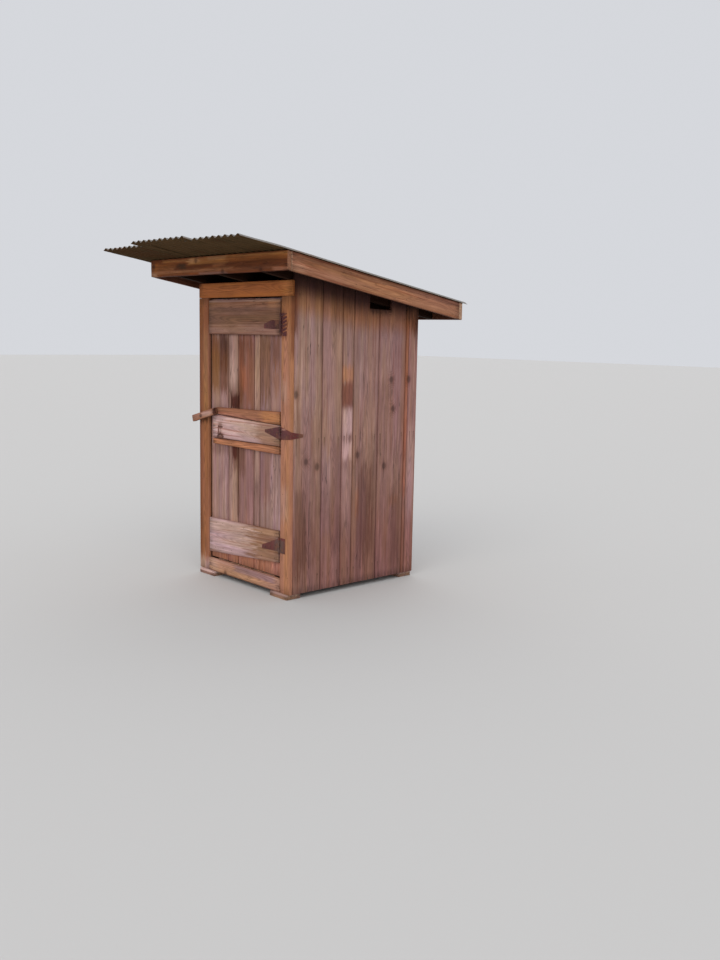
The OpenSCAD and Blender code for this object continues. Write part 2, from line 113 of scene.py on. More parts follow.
class Field:
    """A socket that varies over a surface or along a mesh. Arithmetic on it adds Math nodes."""

    def __init__(self, tree, socket=None):
        self.tree, self.socket = tree, socket

    def node(self, kind, values=(), out=0, **settings):
        made = self.tree.nodes.new(kind)
        for key, value in settings.items():
            setattr(made, key, value)
        for key, value in dict(values).items():
            if isinstance(value, Field):
                self.tree.links.new(value.socket, made.inputs[key])
            else:
                made.inputs[key].default_value = value
        return Field(self.tree, made.outputs[out])

    def maths(self, operation, *values):
        return self.node("ShaderNodeMath", enumerate(values), operation=operation)

    def vector(self, operation, *values, out=0):
        return self.node("ShaderNodeVectorMath", enumerate(values), out, operation=operation)

    def blend(self, other, share, kind="RGBA", **settings):
        first, result = {"RGBA": (6, 2), "VECTOR": (4, 1), "FLOAT": (2, 0)}[kind]
        values = {0: share, first: self, first + 1: other}
        return self.node("ShaderNodeMix", values, result, data_type=kind, **settings)

    def times(self, colour):
        return self.blend(colour, 1.0, blend_type="MULTIPLY")

    def step(self, low, high):
        values = {"Value": self, "From Min": low, "From Max": high}
        return self.node("ShaderNodeMapRange", values, interpolation_type="SMOOTHSTEP")

    def part(self, axis):
        return self.node("ShaderNodeSeparateXYZ", {0: self}, "XYZ".index(axis))

    def thrice(self):
        """The same number on all three axes."""
        return self.node("ShaderNodeCombineXYZ", {axis: self for axis in range(3)})

    def plain(self, colour):
        """One colour all over."""
        made = self.node("ShaderNodeRGB")
        made.socket.default_value = (*colour, 1)
        return made

    def larger(self, other):
        return self.maths("MAXIMUM", self, other)

    def sine(self):
        return self.maths("SINE", self)

    def __abs__(self):
        return self.maths("ABSOLUTE", self)

    def __add__(self, other):
        return self.maths("ADD", self, other)

    def __sub__(self, other):
        return self.maths("SUBTRACT", self, other)

    def __rsub__(self, other):
        return self.maths("SUBTRACT", other, self)

    def __mul__(self, other):
        return self.maths("MULTIPLY", self, other)

    def __truediv__(self, other):
        return self.maths("DIVIDE", self, other)

    def __pow__(self, other):
        return self.maths("POWER", self, other)

    __radd__ = __add__
    __rmul__ = __mul__


def material(name):
    made = bpy.data.materials.new(name)
    made.use_nodes = True
    shader = made.node_tree.nodes["Principled BSDF"]
    return made, shader, Field(made.node_tree)


def connect(look, values):
    """Links each value to the socket of that name on the look's shader."""
    shader = look.node_tree.nodes["Principled BSDF"]
    for socket, value in values.items():
        look.node_tree.links.new(value.socket, shader.inputs[socket])


def speckle(at, detail=2.0, rough=0.5):
    return at.node("ShaderNodeTexNoise", {"Vector": at, "Scale": 1.0, "Detail": detail, "Roughness": rough})


def patch(place, centre, reach, run, wisps, soft=0.03):
    """A mask round centre. reach is its half size in metres, and a zero leaves that axis out. It frays into
    wisps along the run axis and is crisper across it."""
    away = place.vector("ABSOLUTE", place.vector("SUBTRACT", place, centre))
    size = (wisps - 0.5) * 5 * soft
    size = size + away.part(run) - (reach["XYZ".index(run)] or 9)
    for axis, half in zip("XYZ", reach):
        if half and axis != run:
            size = size.larger((away.part(axis) - half) * 3)
    return 1 - size.step(-soft, soft)


def wood(
    name, rings=0.3, streaks=0.45, cracks=0.6, dirt=0.5, fade=0.8, knots=0.3, knots_at=(), run="Z",
    patches=(), bands=(), nails=None, foot=0.0, eave=0.0, sawn=None, back=(0.74, 0.64, 0.52), skin=0.008,
):
    """Rough sawn board. The boards carry their own length, colour and distance from the rim.
    rings, streaks, cracks and dirt are the strengths of those marks, and fade that of the bleached and brown
    streaks. knots is the share of cells that hold one, and knots_at are more centres on the hut. patches are
    (colour, share, centre, reach) with an optional softness, frayed along run, and bands are (colour, share,
    from, to) down from the roof's plane. nails is (inset, heights), and foot is the share of damp at the
    foot.
    eave is the share of the brown near the roof, partly the colour of wood kept from the rain and partly
    painted warm bounce light, and of the painted eave shade at the very top. sawn is the colour of the cut
    ends, and back darkens what lies skin metres behind the face."""
    made, shader, field = material(name)

    def attribute(name, out="Vector"):
        return field.node("ShaderNodeAttribute", (), out, attribute_name=name)

    grain, rim, tint = attribute("grain"), attribute("rim"), attribute("tint", "Color")
    board = attribute("board", "Fac")
    place = field.node("ShaderNodeTexCoord", (), "Object")
    shift = field.node("ShaderNodeCombineXYZ", {0: board * 13.7, 1: board * 5.3, 2: board * 9.1})

    def along(x, y, **settings):
        return speckle(grain.vector("MULTIPLY_ADD", grain, (x, y, y), shift), **settings)

    length, across, depth = grain.part("X"), grain.part("Y"), grain.part("Z")
    drift = speckle(grain.vector("MULTIPLY_ADD", grain, (1.1, 0, 0), shift), detail=1.0)
    wander = along(1.3, 7)
    streak = along(1.7, 62, detail=3.0, rough=0.6)
    fibre = along(11, 520)

    # Knots stand where they are named, and otherwise one turns up on most boards.
    cell = 0.42
    spread = shift.vector("MULTIPLY_ADD", grain, (1 / cell, 1 / cell, 0), shift)

    def cells(out):
        values = {"Vector": spread, "Scale": 1.0}
        return field.node("ShaderNodeTexVoronoi", values, out, voronoi_dimensions="2D")

    chance = cells("Color").part("X")
    bare = chance.maths("GREATER_THAN", chance, knots)
    near = cells("Distance") * cell + bare
    for centre in knots_at:
        away = place.vector("MULTIPLY", place.vector("SUBTRACT", place, centre), (1, 1, 0.7))
        near = near.maths("MINIMUM", near, away.vector("LENGTH", away, out="Value"))
    near = near + (wander - 0.5) * 0.012
    knot = 1 - near.step(0.009, 0.026)
    halo = 1 - near.step(0.012, 0.055)

    # Growth rings round a pith that wanders behind the face, which give the arched figure.
    off = across + (drift - 0.5) * 0.16
    deep = depth + drift * 0.09 + 0.004
    radius = (off * off + deep * deep) ** 0.5 + halo * 0.016 + wander * 0.012
    ring = (radius * 1150).sine() * 0.5 + 0.5
    ring = ring * ring

    def threads(noise, width):
        """Thin lines where the noise crosses its middle."""
        return 1 - abs(noise - 0.5).step(0, width)

    # Drying cracks, finer hairs between them, splits at the ends and the saw's curved marks.
    crack = threads(along(1.5, 30, detail=2.0), 0.011) * along(2.3, 9).step(0.52, 0.64)
    hair = threads(along(2.6, 120, detail=2.0), 0.016) * along(3.1, 17).step(0.5, 0.6)
    end = 1 - rim.part("X").step(0.0, 0.07)
    splits = threads(along(0.9, 75), 0.03) * end
    crack = crack.larger(hair * 0.55).larger(splits)
    sawmark = ((length + across * across * 0.35 + wander * 0.01) * 1250).sine()
    sawmark = sawmark * along(2.1, 6).step(0.45, 0.6)

    base = tint
    wisps = along(7, 64, detail=3.0, rough=0.6)
    inside = depth.step(skin, skin + 0.01)
    for colour, share, centre, reach, *soft in patches:
        base = base.blend((*colour, 1), patch(place, centre, reach, run, wisps, *soft) * (1 - inside) * share)
    for colour, share, low, high in bands:
        drop = roof_top - place.part("Z") - place.part("Y") * roof_fall
        drop = drop + (wisps - 0.5) * 0.03 + (wander - 0.5) * 0.02
        band = drop.step(low - 0.008, low + 0.008) * (1 - drop.step(high - 0.008, high + 0.008))
        base = base.blend((*colour, 1), band * (1 - inside) * share)
    base = base.blend(base.times((*back, 1)), inside * 0.9)
    hue = along(1.1, 12, detail=2.0)
    base = base.times((1.02, 1.01, 0.9, 1)).blend(base.times((1.01, 0.985, 1.11, 1)), hue.step(0.36, 0.64))
    pale = along(2.2, 33, detail=3.0, rough=0.6).step(0.5, 0.68) * fade
    base = base.blend(base.times((1.34, 1.38, 1.42, 1)), pale)
    brown = along(1.8, 78, detail=3.0, rough=0.6).step(0.52, 0.66) * fade
    base = base.blend(base.times((0.8, 0.66, 0.6, 1)), brown)
    mottle = along(6, 24, detail=3.0, rough=0.65)
    shade = (1 - ring * rings) * (1 - streaks / 2 + streak * streaks)
    shade = shade * (0.9 + fibre * 0.2) * (0.7 + mottle * 0.6)
    if foot:
        low = 1 - (place.part("Z") + (streak - 0.5) * 0.6 + (wander - 0.5) * 0.5).step(0.2, 1.0)
        base = base.blend(base.times((0.68, 0.5, 0.47, 1)), low * foot)
    # Near the roof the boards turn brown, partly the colour of wood kept from the rain and partly painted
    # warm bounce light. At the very top, a darker band is painted shade from the eave.
    if eave:
        rear = place.part("Y")
        high = place.part("Z") + rear * roof_fall - rear.larger(0.0) * 0.13 + (streak - 0.5) * 0.07
        stain = high.step(wall_head - 0.32, wall_head - 0.19) * eave
        eave_shade = high.step(wall_head - 0.22, wall_head - 0.06) * eave
        base = base.blend(base.times((1.0, 0.78, 0.5, 1)), stain)
        base = base.blend(base.times((0.17, 0.13, 0.18, 1)), eave_shade)
    if sawn:
        base = base.blend((*sawn, 1), 1 - rim.part("X").step(0.0006, 0.0022))
    edge = 1 - (rim.part("Y") + (streak - 0.5) * 0.008).step(0.0, 0.012)
    base = base.blend(base.times((0.55, 0.42, 0.38, 1)), edge * dirt)
    base = base.blend(base.times((0.62, 0.5, 0.44, 1)), halo * 0.4)
    shade = shade * (1 - end * 0.18) * (1 - crack * cracks) * (1 - knot * 0.5)
    if nails:
        inset, heights = nails
        rust = None
        for line in heights:
            below = line - place.part("Z")
            weep = below.step(-0.006, 0.0) * (1 - below.step(0.0, 0.12))
            rust = weep if rust is None else rust.larger(weep)
        beside = rim.part("Y") - inset + (streak - 0.5) * 0.006
        rust = rust * (1 - abs(beside).step(0.001, 0.007))
        base = base.blend((0.09, 0.036, 0.02, 1), rust * 0.55)
    relief = streak * 0.6 + fibre * 0.45 + ring * 0.35 + sawmark * 0.09 - crack * 1.6 - knot * 0.4
    bump = field.node("ShaderNodeBump", {"Strength": 0.8, "Distance": 0.002, "Height": relief})
    shaded = base.times(shade.thrice())
    connect(made, {"Base Color": shaded, "Normal": bump, "Roughness": 0.92 - streak * 0.16})
    shader.inputs["Specular IOR Level"].default_value = 0.25
    return made


def new_tree(name, sizes):
    """A Geometry Nodes tree with a geometry input and output and the named inputs in sizes."""
    tree = bpy.data.node_groups.new(name, "GeometryNodeTree")
    tree.interface.new_socket("Geometry", in_out="OUTPUT", socket_type="NodeSocketGeometry")
    tree.interface.new_socket("Geometry", in_out="INPUT", socket_type="NodeSocketGeometry")
    for socket, kind in sizes.items():
        tree.interface.new_socket(socket, in_out="INPUT", socket_type="NodeSocket" + kind)
    given = tree.nodes.new("NodeGroupInput")
    return tree, {socket.name: Field(tree, socket) for socket in given.outputs if socket.name}


def close_tree(shape, look):
    shape = shape.node("GeometryNodeRealizeInstances", {0: shape})
    shape = shape.node("GeometryNodeSetMaterial", {"Geometry": shape, "Material": look})
    ends = shape.tree.nodes.new("NodeGroupOutput")
    shape.tree.links.new(shape.socket, ends.inputs[0])
    return shape.tree


def corner_name(far, high, back):
    return "near far".split()[far] + "_" + "low high".split()[high] + "_" + "front back".split()[back]


def board_tree():
    """Each point becomes a board between its eight corners, its front edges worn and its ends uneven."""
    sizes = {
        "Cuts Along": "Int", "Cuts Across": "Int", "Edge Wave": "Float", "Cup": "Float",
        "End Wave": "Float", "Material": "Material"}
    tree, given = new_tree("rough boards", sizes)
    field = Field(tree)

    def read(name, kind="FLOAT_VECTOR"):
        return field.node("GeometryNodeInputNamedAttribute", {"Name": name}, "Attribute", data_type=kind)

    cuts = {"Vertices X": given["Cuts Along"], "Vertices Y": given["Cuts Across"], "Vertices Z": 2}
    blank = field.node("GeometryNodeMeshCube", {"Size": (1, 1, 1), **cuts})
    many = field.node("GeometryNodeInstanceOnPoints", {"Points": given["Geometry"], "Instance": blank})
    many = field.node("GeometryNodeRealizeInstances", {0: many})
    here = field.node("GeometryNodeInputPosition")
    u, v, w = (here.part(axis) + 0.5 for axis in "XYZ")
    board = read("board", "FLOAT")

    def line(high, back):
        start, stop = read(corner_name(0, high, back)), read(corner_name(1, high, back))
        return start.blend(stop, u, "VECTOR")

    low = line(0, 0).blend(line(0, 1), w, "VECTOR")
    high = line(1, 0).blend(line(1, 1), w, "VECTOR")
    front = line(0, 0).blend(line(1, 0), v, "VECTOR")
    back = line(0, 1).blend(line(1, 1), v, "VECTOR")
    spot = low.blend(high, v, "VECTOR")
    width = spot.vector("DISTANCE", low, high, out="Value")
    thick = spot.vector("DISTANCE", front, back, out="Value")
    first, last = read(corner_name(0, 0, 0)), read(corner_name(1, 0, 0))
    length = spot.vector("DISTANCE", first, last, out="Value")
    over = spot.vector("NORMALIZE", spot.vector("SUBTRACT", high, low))
    inward = spot.vector("NORMALIZE", spot.vector("SUBTRACT", back, front))
    ahead = spot.vector("NORMALIZE", spot.vector("SUBTRACT", last, first))

    def waves(x, y, z):
        return speckle(field.node("ShaderNodeCombineXYZ", {0: x, 1: y, 2: z}), detail=1.0)

    worn = waves(u * length * 3.1 + board * 17.3, v * 4.7, board * 5.1) * given["Edge Wave"]
    trim = waves(u * 9.0 + board * 3.9, v * width * 9.0, board * 7.7) * given["End Wave"]
    cup = waves(board * 2.3, u * length * 1.7, board * 4.1) * given["Cup"]

    def moved(spot, way, amount):
        return spot.vector("MULTIPLY_ADD", way, amount.thrice(), spot)

    side = v * 2 - 1
    from_middle = abs(u * 2 - 1)
    at_end = from_middle.maths("GREATER_THAN", from_middle, 0.999)
    spot = moved(spot, over, side * worn * -1)
    spot = moved(spot, ahead, (0.5 - u) * 2 * at_end * trim)
    spot = moved(spot, inward, side * side * cup * (1 - w))

    def keep(shape, name, value):
        values = {"Geometry": shape, "Name": name, "Value": value}
        return field.node("GeometryNodeStoreNamedAttribute", values, data_type="FLOAT_VECTOR", domain="POINT")

    grain = field.node("ShaderNodeCombineXYZ", {0: u * length, 1: (v - 0.5) * width, 2: w * thick})
    from_end = u.maths("MINIMUM", u, 1 - u) * length
    from_edge = v.maths("MINIMUM", v, 1 - v) * width
    rim = field.node("ShaderNodeCombineXYZ", {0: from_end, 1: from_edge, 2: w * thick})
    many = keep(keep(many, "grain", grain), "rim", rim)
    many = field.node("GeometryNodeSetPosition", {"Geometry": many, "Position": spot})
    return close_tree(many, given["Material"])


rough_boards_tree = board_tree()


def split(points, axis):
    middle = (min(p[axis] for p in points) + max(p[axis] for p in points)) / 2
    return [p for p in points if p[axis] < middle], [p for p in points if p[axis] >= middle]


def planks(node, along, across, face, top=None):
    """The eight corners of each board in a CAD node, in order across. along and across are axes, and face is
    the axis and side that the board shows, such as -Y. top gives the height of each far corner, for walls
    whose boards a notch cuts short in the solids."""
    axes = ["XYZ".index(along), "XYZ".index(across), "XYZ".index(face[1])]
    made = bmesh.new()
    made.from_mesh(frame["nodes"][node].data)
    bmesh.ops.remove_doubles(made, verts=made.verts, dist=1e-5)
    left, boards = set(made.verts), []
    while left:
        edge, island = [left.pop()], []
        while edge:
            vert = edge.pop()
            island.append(vert.co.copy())
            for link in vert.link_edges:
                other = link.other_vert(vert)
                if other in left:
                    left.remove(other)
                    edge.append(other)
        boards.append(island)
    made.free()
    found = []
    for island in boards:
        corners = {}
        for far, end in enumerate(split(island, axes[0])):
            for high, side in enumerate(split(end, axes[1])):
                layers = split(side, axes[2])
                for back, layer in enumerate(layers if face[0] == "-" else layers[::-1]):
                    spot = (max if high else min)(layer, key=lambda p: round(p[axes[1]], 5)).copy()
                    if top and far:
                        spot.z = top(spot)
                    corners[far, high, back] = spot
        first = corners[0, 0, 0]
        turn = (corners[1, 0, 0] - first).cross(corners[0, 1, 0] - first).dot(corners[0, 0, 1] - first)
        if turn < 0:
            corners = {(far, 1 - high, back): spot for (far, high, back), spot in corners.items()}
        found.append(corners)
    sweep = axes[1] if len(found) > 1 else axes[0]
    return sorted(found, key=lambda c: sum(c.values(), Vector())[sweep])


laid = {}


def rough_boards(
    node, body, lie, tints, look, top=None, boards=None, cuts=(26, 7), wave=0.0016, cup=0.0012,
    ends=0.003, bevel=0.0022,
):
    """Boards in place of a CAD node, all one piece. lie is the along, across and face that planks takes, and
    tints are the boards' colours in order, the last one repeated. cuts are the points along and across a
    board, wave, cup and ends its unevenness in metres, and bevel the wear of its edges."""
    boards = boards or planks(node, *lie.split(), top)
    laid[node] = boards
    mesh = bpy.data.meshes.new(node)
    mesh.from_pydata([(0, 0, 0)] * len(boards), [], [])
    for place in itertools.product((0, 1), repeat=3):
        corner = mesh.attributes.new(corner_name(*place), "FLOAT_VECTOR", "POINT")
        corner.data.foreach_set("vector", [part for board in boards for part in board[place]])
    colours = [tints[min(i, len(tints) - 1)] for i in range(len(boards))]
    colours = [channel for colour in colours for channel in (*colour, 1)]
    mesh.attributes.new("tint", "FLOAT_COLOR", "POINT").data.foreach_set("color", colours)
    numbers = [random.random() * 10 for _ in boards]
    mesh.attributes.new("board", "FLOAT", "POINT").data.foreach_set("value", numbers)
    blank = bpy.data.objects.new(node, mesh)
    bpy.context.collection.objects.link(blank)
    sizes = {
        "Cuts Along": cuts[0], "Cuts Across": cuts[1], "Edge Wave": wave, "Cup": cup, "End Wave": ends,
        "Material": look}
    return finish_piece(grow(node + "_wood", blank, rough_boards_tree, sizes, bevel), body, [node])


# Edges that turn by more than this stay sharp.
crease = math.radians(38)


def round_edges(piece, width):
    rounding = piece.modifiers.new("rounding", "BEVEL")
    rounding.width = width
    rounding.segments = 2
    rounding.limit_method = "ANGLE"
    rounding.angle_limit = math.radians(50)
    return rounding


def plain_mesh(piece):
    """The piece's mesh as its modifiers leave it."""
    return bpy.data.meshes.new_from_object(piece.evaluated_get(bpy.context.evaluated_depsgraph_get()))


def smooth(mesh):
    mesh.polygons.foreach_set("use_smooth", [True] * len(mesh.polygons))
    mesh.set_sharp_from_angle(angle=crease)


def grow(name, blank, tree, sizes, bevel=0.0):
    """Runs a tree on blank and returns the result as a plain mesh object, its edges rounded by bevel."""
    modifier = blank.modifiers.new(tree.name, "NODES")
    modifier.node_group = tree
    for socket in tree.interface.items_tree:
        if socket.in_out == "INPUT" and socket.name in sizes:
            modifier[socket.identifier] = sizes[socket.name]
    if bevel:
        round_edges(blank, bevel)
    mesh = plain_mesh(blank)
    bpy.data.objects.remove(blank)
    mesh.name = name
    mesh.materials.clear()
    mesh.materials.append(sizes["Material"])
    mesh.polygons.foreach_set("material_index", [0] * len(mesh.polygons))
    smooth(mesh)
    grown = bpy.data.objects.new(name, mesh)
    bpy.context.collection.objects.link(grown)
    return grown


def finish_piece(piece, body, nodes=()):
    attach(piece, body)
    if nodes:
        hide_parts(*nodes)
    return piece


dusty = wood(
    "dusty wood", rings=0.2, streaks=0.4, dirt=0.25, run="X",
    patches=[((0.72, 0.5, 0.4), 0.95, (-0.47, -0.52, 0.02), (0.2, 0.2, 0.1))])
rough_boards("foot_blocks", "hut", "X Y +Z", [(0.47, 0.3, 0.24)], dusty, cuts=(6, 5))

# Runners and joists: heavy old timbers that lie on the blocks and carry the floor.
# Dark with age, butted and nailed from outside.
old = wood("old wood", rings=0.3, streaks=0.55, dirt=0.5, cracks=0.75)
old_tint = (0.15, 0.085, 0.055)
rough_boards("runners", "hut", "Y X +Z", [old_tint], old, cuts=(14, 5))
rough_boards("joists", "hut", "X Y +Z", [old_tint], old, cuts=(12, 5))

# Floor: seven rough boards laid from front to rear over the joists, the outer ones cut between the posts.
# Bare, trodden pale along the middle and dusty at the walls. Their front edges carry painted light where they
# lie in shade under the door.
trodden = wood(
    "trodden wood", rings=0.32, streaks=0.45, dirt=0.7,
    # Painted light along the boards' front edges, in the shade under the door.
    patches=[((0.6, 0.33, 0.21), 0.9, (0, -0.56, 0), (0, 0.05, 0), 0.1)])
floor_tints = [
    (0.17, 0.1, 0.065), (0.21, 0.13, 0.09), (0.25, 0.16, 0.115), (0.26, 0.165, 0.12),
    (0.24, 0.15, 0.105), (0.2, 0.125, 0.085), (0.16, 0.1, 0.065)]
rough_boards("floor_boards", "hut", "Y X +Z", floor_tints, trodden, cuts=(16, 5))

# Frame: four square posts, side and rear girts and two plates, of rough timber spiked together.
# It shows only from inside and in the dark under the eaves.
post_tint = (0.13, 0.07, 0.042)
# Near black: painted shade for the timbers that lie in the dark under the roof.
shade_black_tint = (0.03, 0.014, 0.008)
for corner, face in (("front_left", "+X"), ("front_right", "-X"), ("rear_left", "+X"), ("rear_right", "-X")):
    rough_boards(corner + "_post", "hut", "Z Y " + face, [post_tint], old, cuts=(18, 5))
for side, face in (("left", "+X"), ("right", "-X")):
    rough_boards(side + "_girts", "hut", "Y Z " + face, [post_tint], old, cuts=(12, 5))
rough_boards("rear_girt", "hut", "X Z -Y", [post_tint], old, cuts=(12, 5))
# The plates take the same near black, painted shade under the eaves.
for end, face in (("front", "+Y"), ("rear", "-Y")):
    lie = "X Z " + face
    rough_boards(end + "_plate", "hut", lie, [shade_black_tint], old, cuts=(12, 5), wave=0.0008)

# Right wall: seven upright boards of unlike widths, nailed to the girts and lapped on the outer rafter.
# Weathered pinkish grey, red and damp at the foot, with one narrow board that has lost its skin in places.
def wall_top(spot):
    return wall_head - spot.y * roof_fall


vent_middle = 0.2075
vent_width = 0.213
vent_foot = 1.9524


def cut_away(piece, made):
    """Cuts the bmesh's closed form out of a finished piece. The cut takes the look of the wood beside it."""
    look = piece.data.materials[0]
    mesh = bpy.data.meshes.new("cutter")
    made.to_mesh(mesh)
    made.free()
    mesh.materials.append(look)
    cutter = bpy.data.objects.new("cutter", mesh)
    bpy.context.collection.objects.link(cutter)
    saw = piece.modifiers.new("saw", "BOOLEAN")
    saw.operation = "DIFFERENCE"
    saw.object = cutter
    cut = plain_mesh(piece)
    piece.modifiers.remove(saw)
    piece.data = cut
    cut.set_sharp_from_angle(angle=crease)
    bpy.data.objects.remove(cutter)
    tints, boards = cut.attributes["tint"].data, cut.attributes["board"].data
    fresh = [i for i, tint in enumerate(tints) if min(tint.color[:3]) > 0.95 or max(tint.color[:3]) == 0]
    kept = KDTree(len(cut.vertices) - len(fresh))
    for i in set(range(len(cut.vertices))) - set(fresh):
        kept.insert(cut.vertices[i].co, i)
    kept.balance()
    for i in fresh:
        near = kept.find(cut.vertices[i].co)[1]
        tints[i].color, boards[i].value = tints[near].color, boards[near].value
        for name in ("grain", "rim"):
            cut.attributes[name].data[i].vector = cut.attributes[name].data[near].vector


def vent_cutter():
    """A block through both walls. Its sloping underside stands 15 to 21 mm over the notch in the solids."""
    block = (1.4, vent_width, 0.6)
    made = bmesh.new()
    bmesh.ops.create_cube(made, size=1)
    bmesh.ops.scale(made, vec=block, verts=made.verts)
    for corner in made.verts:
        if corner.co.z < 0:
            corner.co.z += 0.018 - corner.co.y * 0.03
    bmesh.ops.translate(made, vec=(0, vent_middle, vent_foot + block[2] / 2), verts=made.verts)
    return made


nail_inset = 0.024
girt_lines = (0.154, 1.094)
wall_nails = (nail_inset, girt_lines)
right_look = wood(
    "right wall wood", rings=0.2, streaks=0.5, dirt=0.38, knots=0, nails=wall_nails, foot=0.75, eave=1,
    knots_at=[
        (0.544, -0.548, 1.392), (0.544, -0.456, 0.94), (0.544, -0.36, 0.899), (0.544, 0.325, 1.478),
        (0.544, 0.348, 1.27), (0.544, 0.01, 0.955), (0.544, 0.498, 1.478), (0.544, 0.27, 0.86),
    ],
    patches=[
        ((0.43, 0.195, 0.11), 0.95, (0, -0.0895, 1.515), (0, 0.05, 0.06)),
        ((0.23, 0.085, 0.055), 0.95, (0, -0.0895, 1.385), (0, 0.05, 0.085)),
        ((0.57, 0.36, 0.31), 1, (0, -0.0895, 1.19), (0, 0.043, 0.085)),
        ((0.56, 0.35, 0.3), 1, (0, -0.0895, 1.0), (0, 0.046, 0.055)),
        ((0.44, 0.27, 0.25), 0.35, (0, -0.0895, 0.63), (0, 0.04, 0.2), 0.06),
        ((0.36, 0.165, 0.1), 0.7, (0, 0.012, 0.6), (0, 0.018, 0.09)),
        ((0.36, 0.165, 0.1), 0.6, (0, 0.37, 0.6), (0, 0.04, 0.03)),
        ((0.25, 0.125, 0.092), 0.6, (0, -0.44, 0.75), (0, 0.11, 0.5), 0.15),
        ((0.17, 0.08, 0.062), 0.6, (0, -0.5, 0.45), (0, 0.06, 0.3), 0.09),
        ((0.16, 0.07, 0.055), 0.7, (0, 0.09, 0.56), (0, 0.085, 0.33), 0.12),
        ((0.35, 0.206, 0.226), 0.7, (0, -0.275, 0.7), (0, 0.045, 0.28), 0.08),
        ((0.252, 0.128, 0.104), 0.75, (0, -0.186, 0.7), (0, 0.045, 0.38), 0.08),
        ((0.375, 0.215, 0.162), 0.8, (0, 0.14, 1.72), (0, 0.055, 0.23), 0.08),
        ((0.37, 0.215, 0.182), 0.8, (0, 0.27, 1.74), (0, 0.06, 0.25), 0.08),
        ((0.365, 0.212, 0.182), 0.8, (0, 0.39, 1.86), (0, 0.07, 0.13), 0.08),
        ((0.262, 0.135, 0.116), 0.6, (0, 0.33, 1.15), (0, 0.12, 0.25), 0.1),
        ((0.17, 0.08, 0.062), 0.5, (0, 0.4, 0.4), (0, 0.05, 0.25), 0.09),
        ((0.2, 0.1, 0.07), 0.6, (0, -0.33, 1.3), (0, 0.006, 0.7), 0.05),
        ((0.17, 0.065, 0.035), 0.95, (0, -0.556, 1.98), (0, 0.018, 0.18), 0.05),
        ((0.43, 0.26, 0.21), 0.8, (0, -0.559, 0.93), (0, 0.008, 0.5), 0.04),
        ((0.33, 0.13, 0.085), 0.7, (0, 0.46, 1.3), (0, 0.016, 0.6), 0.08),
        ((0.29, 0.095, 0.05), 0.7, (0, 0.48, 1.05), (0, 0.015, 0.13), 0.06),
        ((0.45, 0.285, 0.25), 0.5, (0, 0.54, 0.78), (0, 0.04, 0.32), 0.08),
        ((0.14, 0.055, 0.04), 0.85, (0, 0.55, 1.88), (0, 0.035, 0.07), 0.05),
        # Painted shade from the eave, reaching lower on this board.
        ((0.2, 0.11, 0.115), 0.5, (0, -0.186, 1.9), (0, 0.045, 0.06), 0.05),
        ((0.36, 0.22, 0.2), 0.5, (0, -0.09, 1.78), (0, 0.045, 0.14), 0.08),
        ((0.33, 0.205, 0.18), 0.55, (0, 0.02, 1.6), (0, 0.05, 0.24), 0.08),
        ((0.24, 0.13, 0.105), 0.85, (0, 0.482, 2.0), (0, 0.02, 0.12), 0.08),
        ((0.3, 0.17, 0.145), 0.85, (0, 0.482, 0.2), (0, 0.02, 0.4), 0.1),
        # Painted shade along the foot of the vent.
        ((0.06, 0.025, 0.025), 0.75, (0, vent_middle, 1.97), (0, 0.105, 0.02), 0.025),
    ])
side_tints = [
    (0.37, 0.222, 0.182), (0.352, 0.203, 0.162), (0.345, 0.195, 0.16), (0.318, 0.178, 0.144),
    (0.315, 0.17, 0.143), (0.38, 0.15, 0.09), (0.36, 0.192, 0.161)]
right_wall = rough_boards(
    "right_wall_boards", "hut", "Z Y +X", side_tints, right_look,
    cuts=(30, 7), top=wall_top)
cut_away(right_wall, vent_cutter())

# Left wall: the same seven boards on the far side, weathered alike.
# It is nailed to the same girts, with a knot on about half of its boards.
left_look = wood(
    "left wall wood", rings=0.22, streaks=0.5, dirt=0.38, knots=0.45, nails=wall_nails, foot=0.75, eave=1)
left_wall = rough_boards(
    "left_wall_boards", "hut", "Z Y -X", side_tints, left_look,
    cuts=(30, 7), top=wall_top)
cut_away(left_wall, vent_cutter())

# Rear wall: six boards between the side boards, nailed to the rear joist, girt and plate.
# The same weathered stock, cut shorter under the low end of the roof.
rear_lines = (0.075, 1.094, 1.96)
rear_look = wood(
    "rear wall wood", rings=0.22, streaks=0.5, knots=0.45, nails=(nail_inset, rear_lines), foot=0.75, eave=1)
rear_tints = [
    (0.27, 0.16, 0.135), (0.24, 0.135, 0.11), (0.29, 0.18, 0.15), (0.25, 0.145, 0.12),
    (0.27, 0.15, 0.12), (0.28, 0.17, 0.145)]
rough_boards("rear_wall_boards", "hut", "Z X +Y", rear_tints, rear_look, cuts=(28, 7))

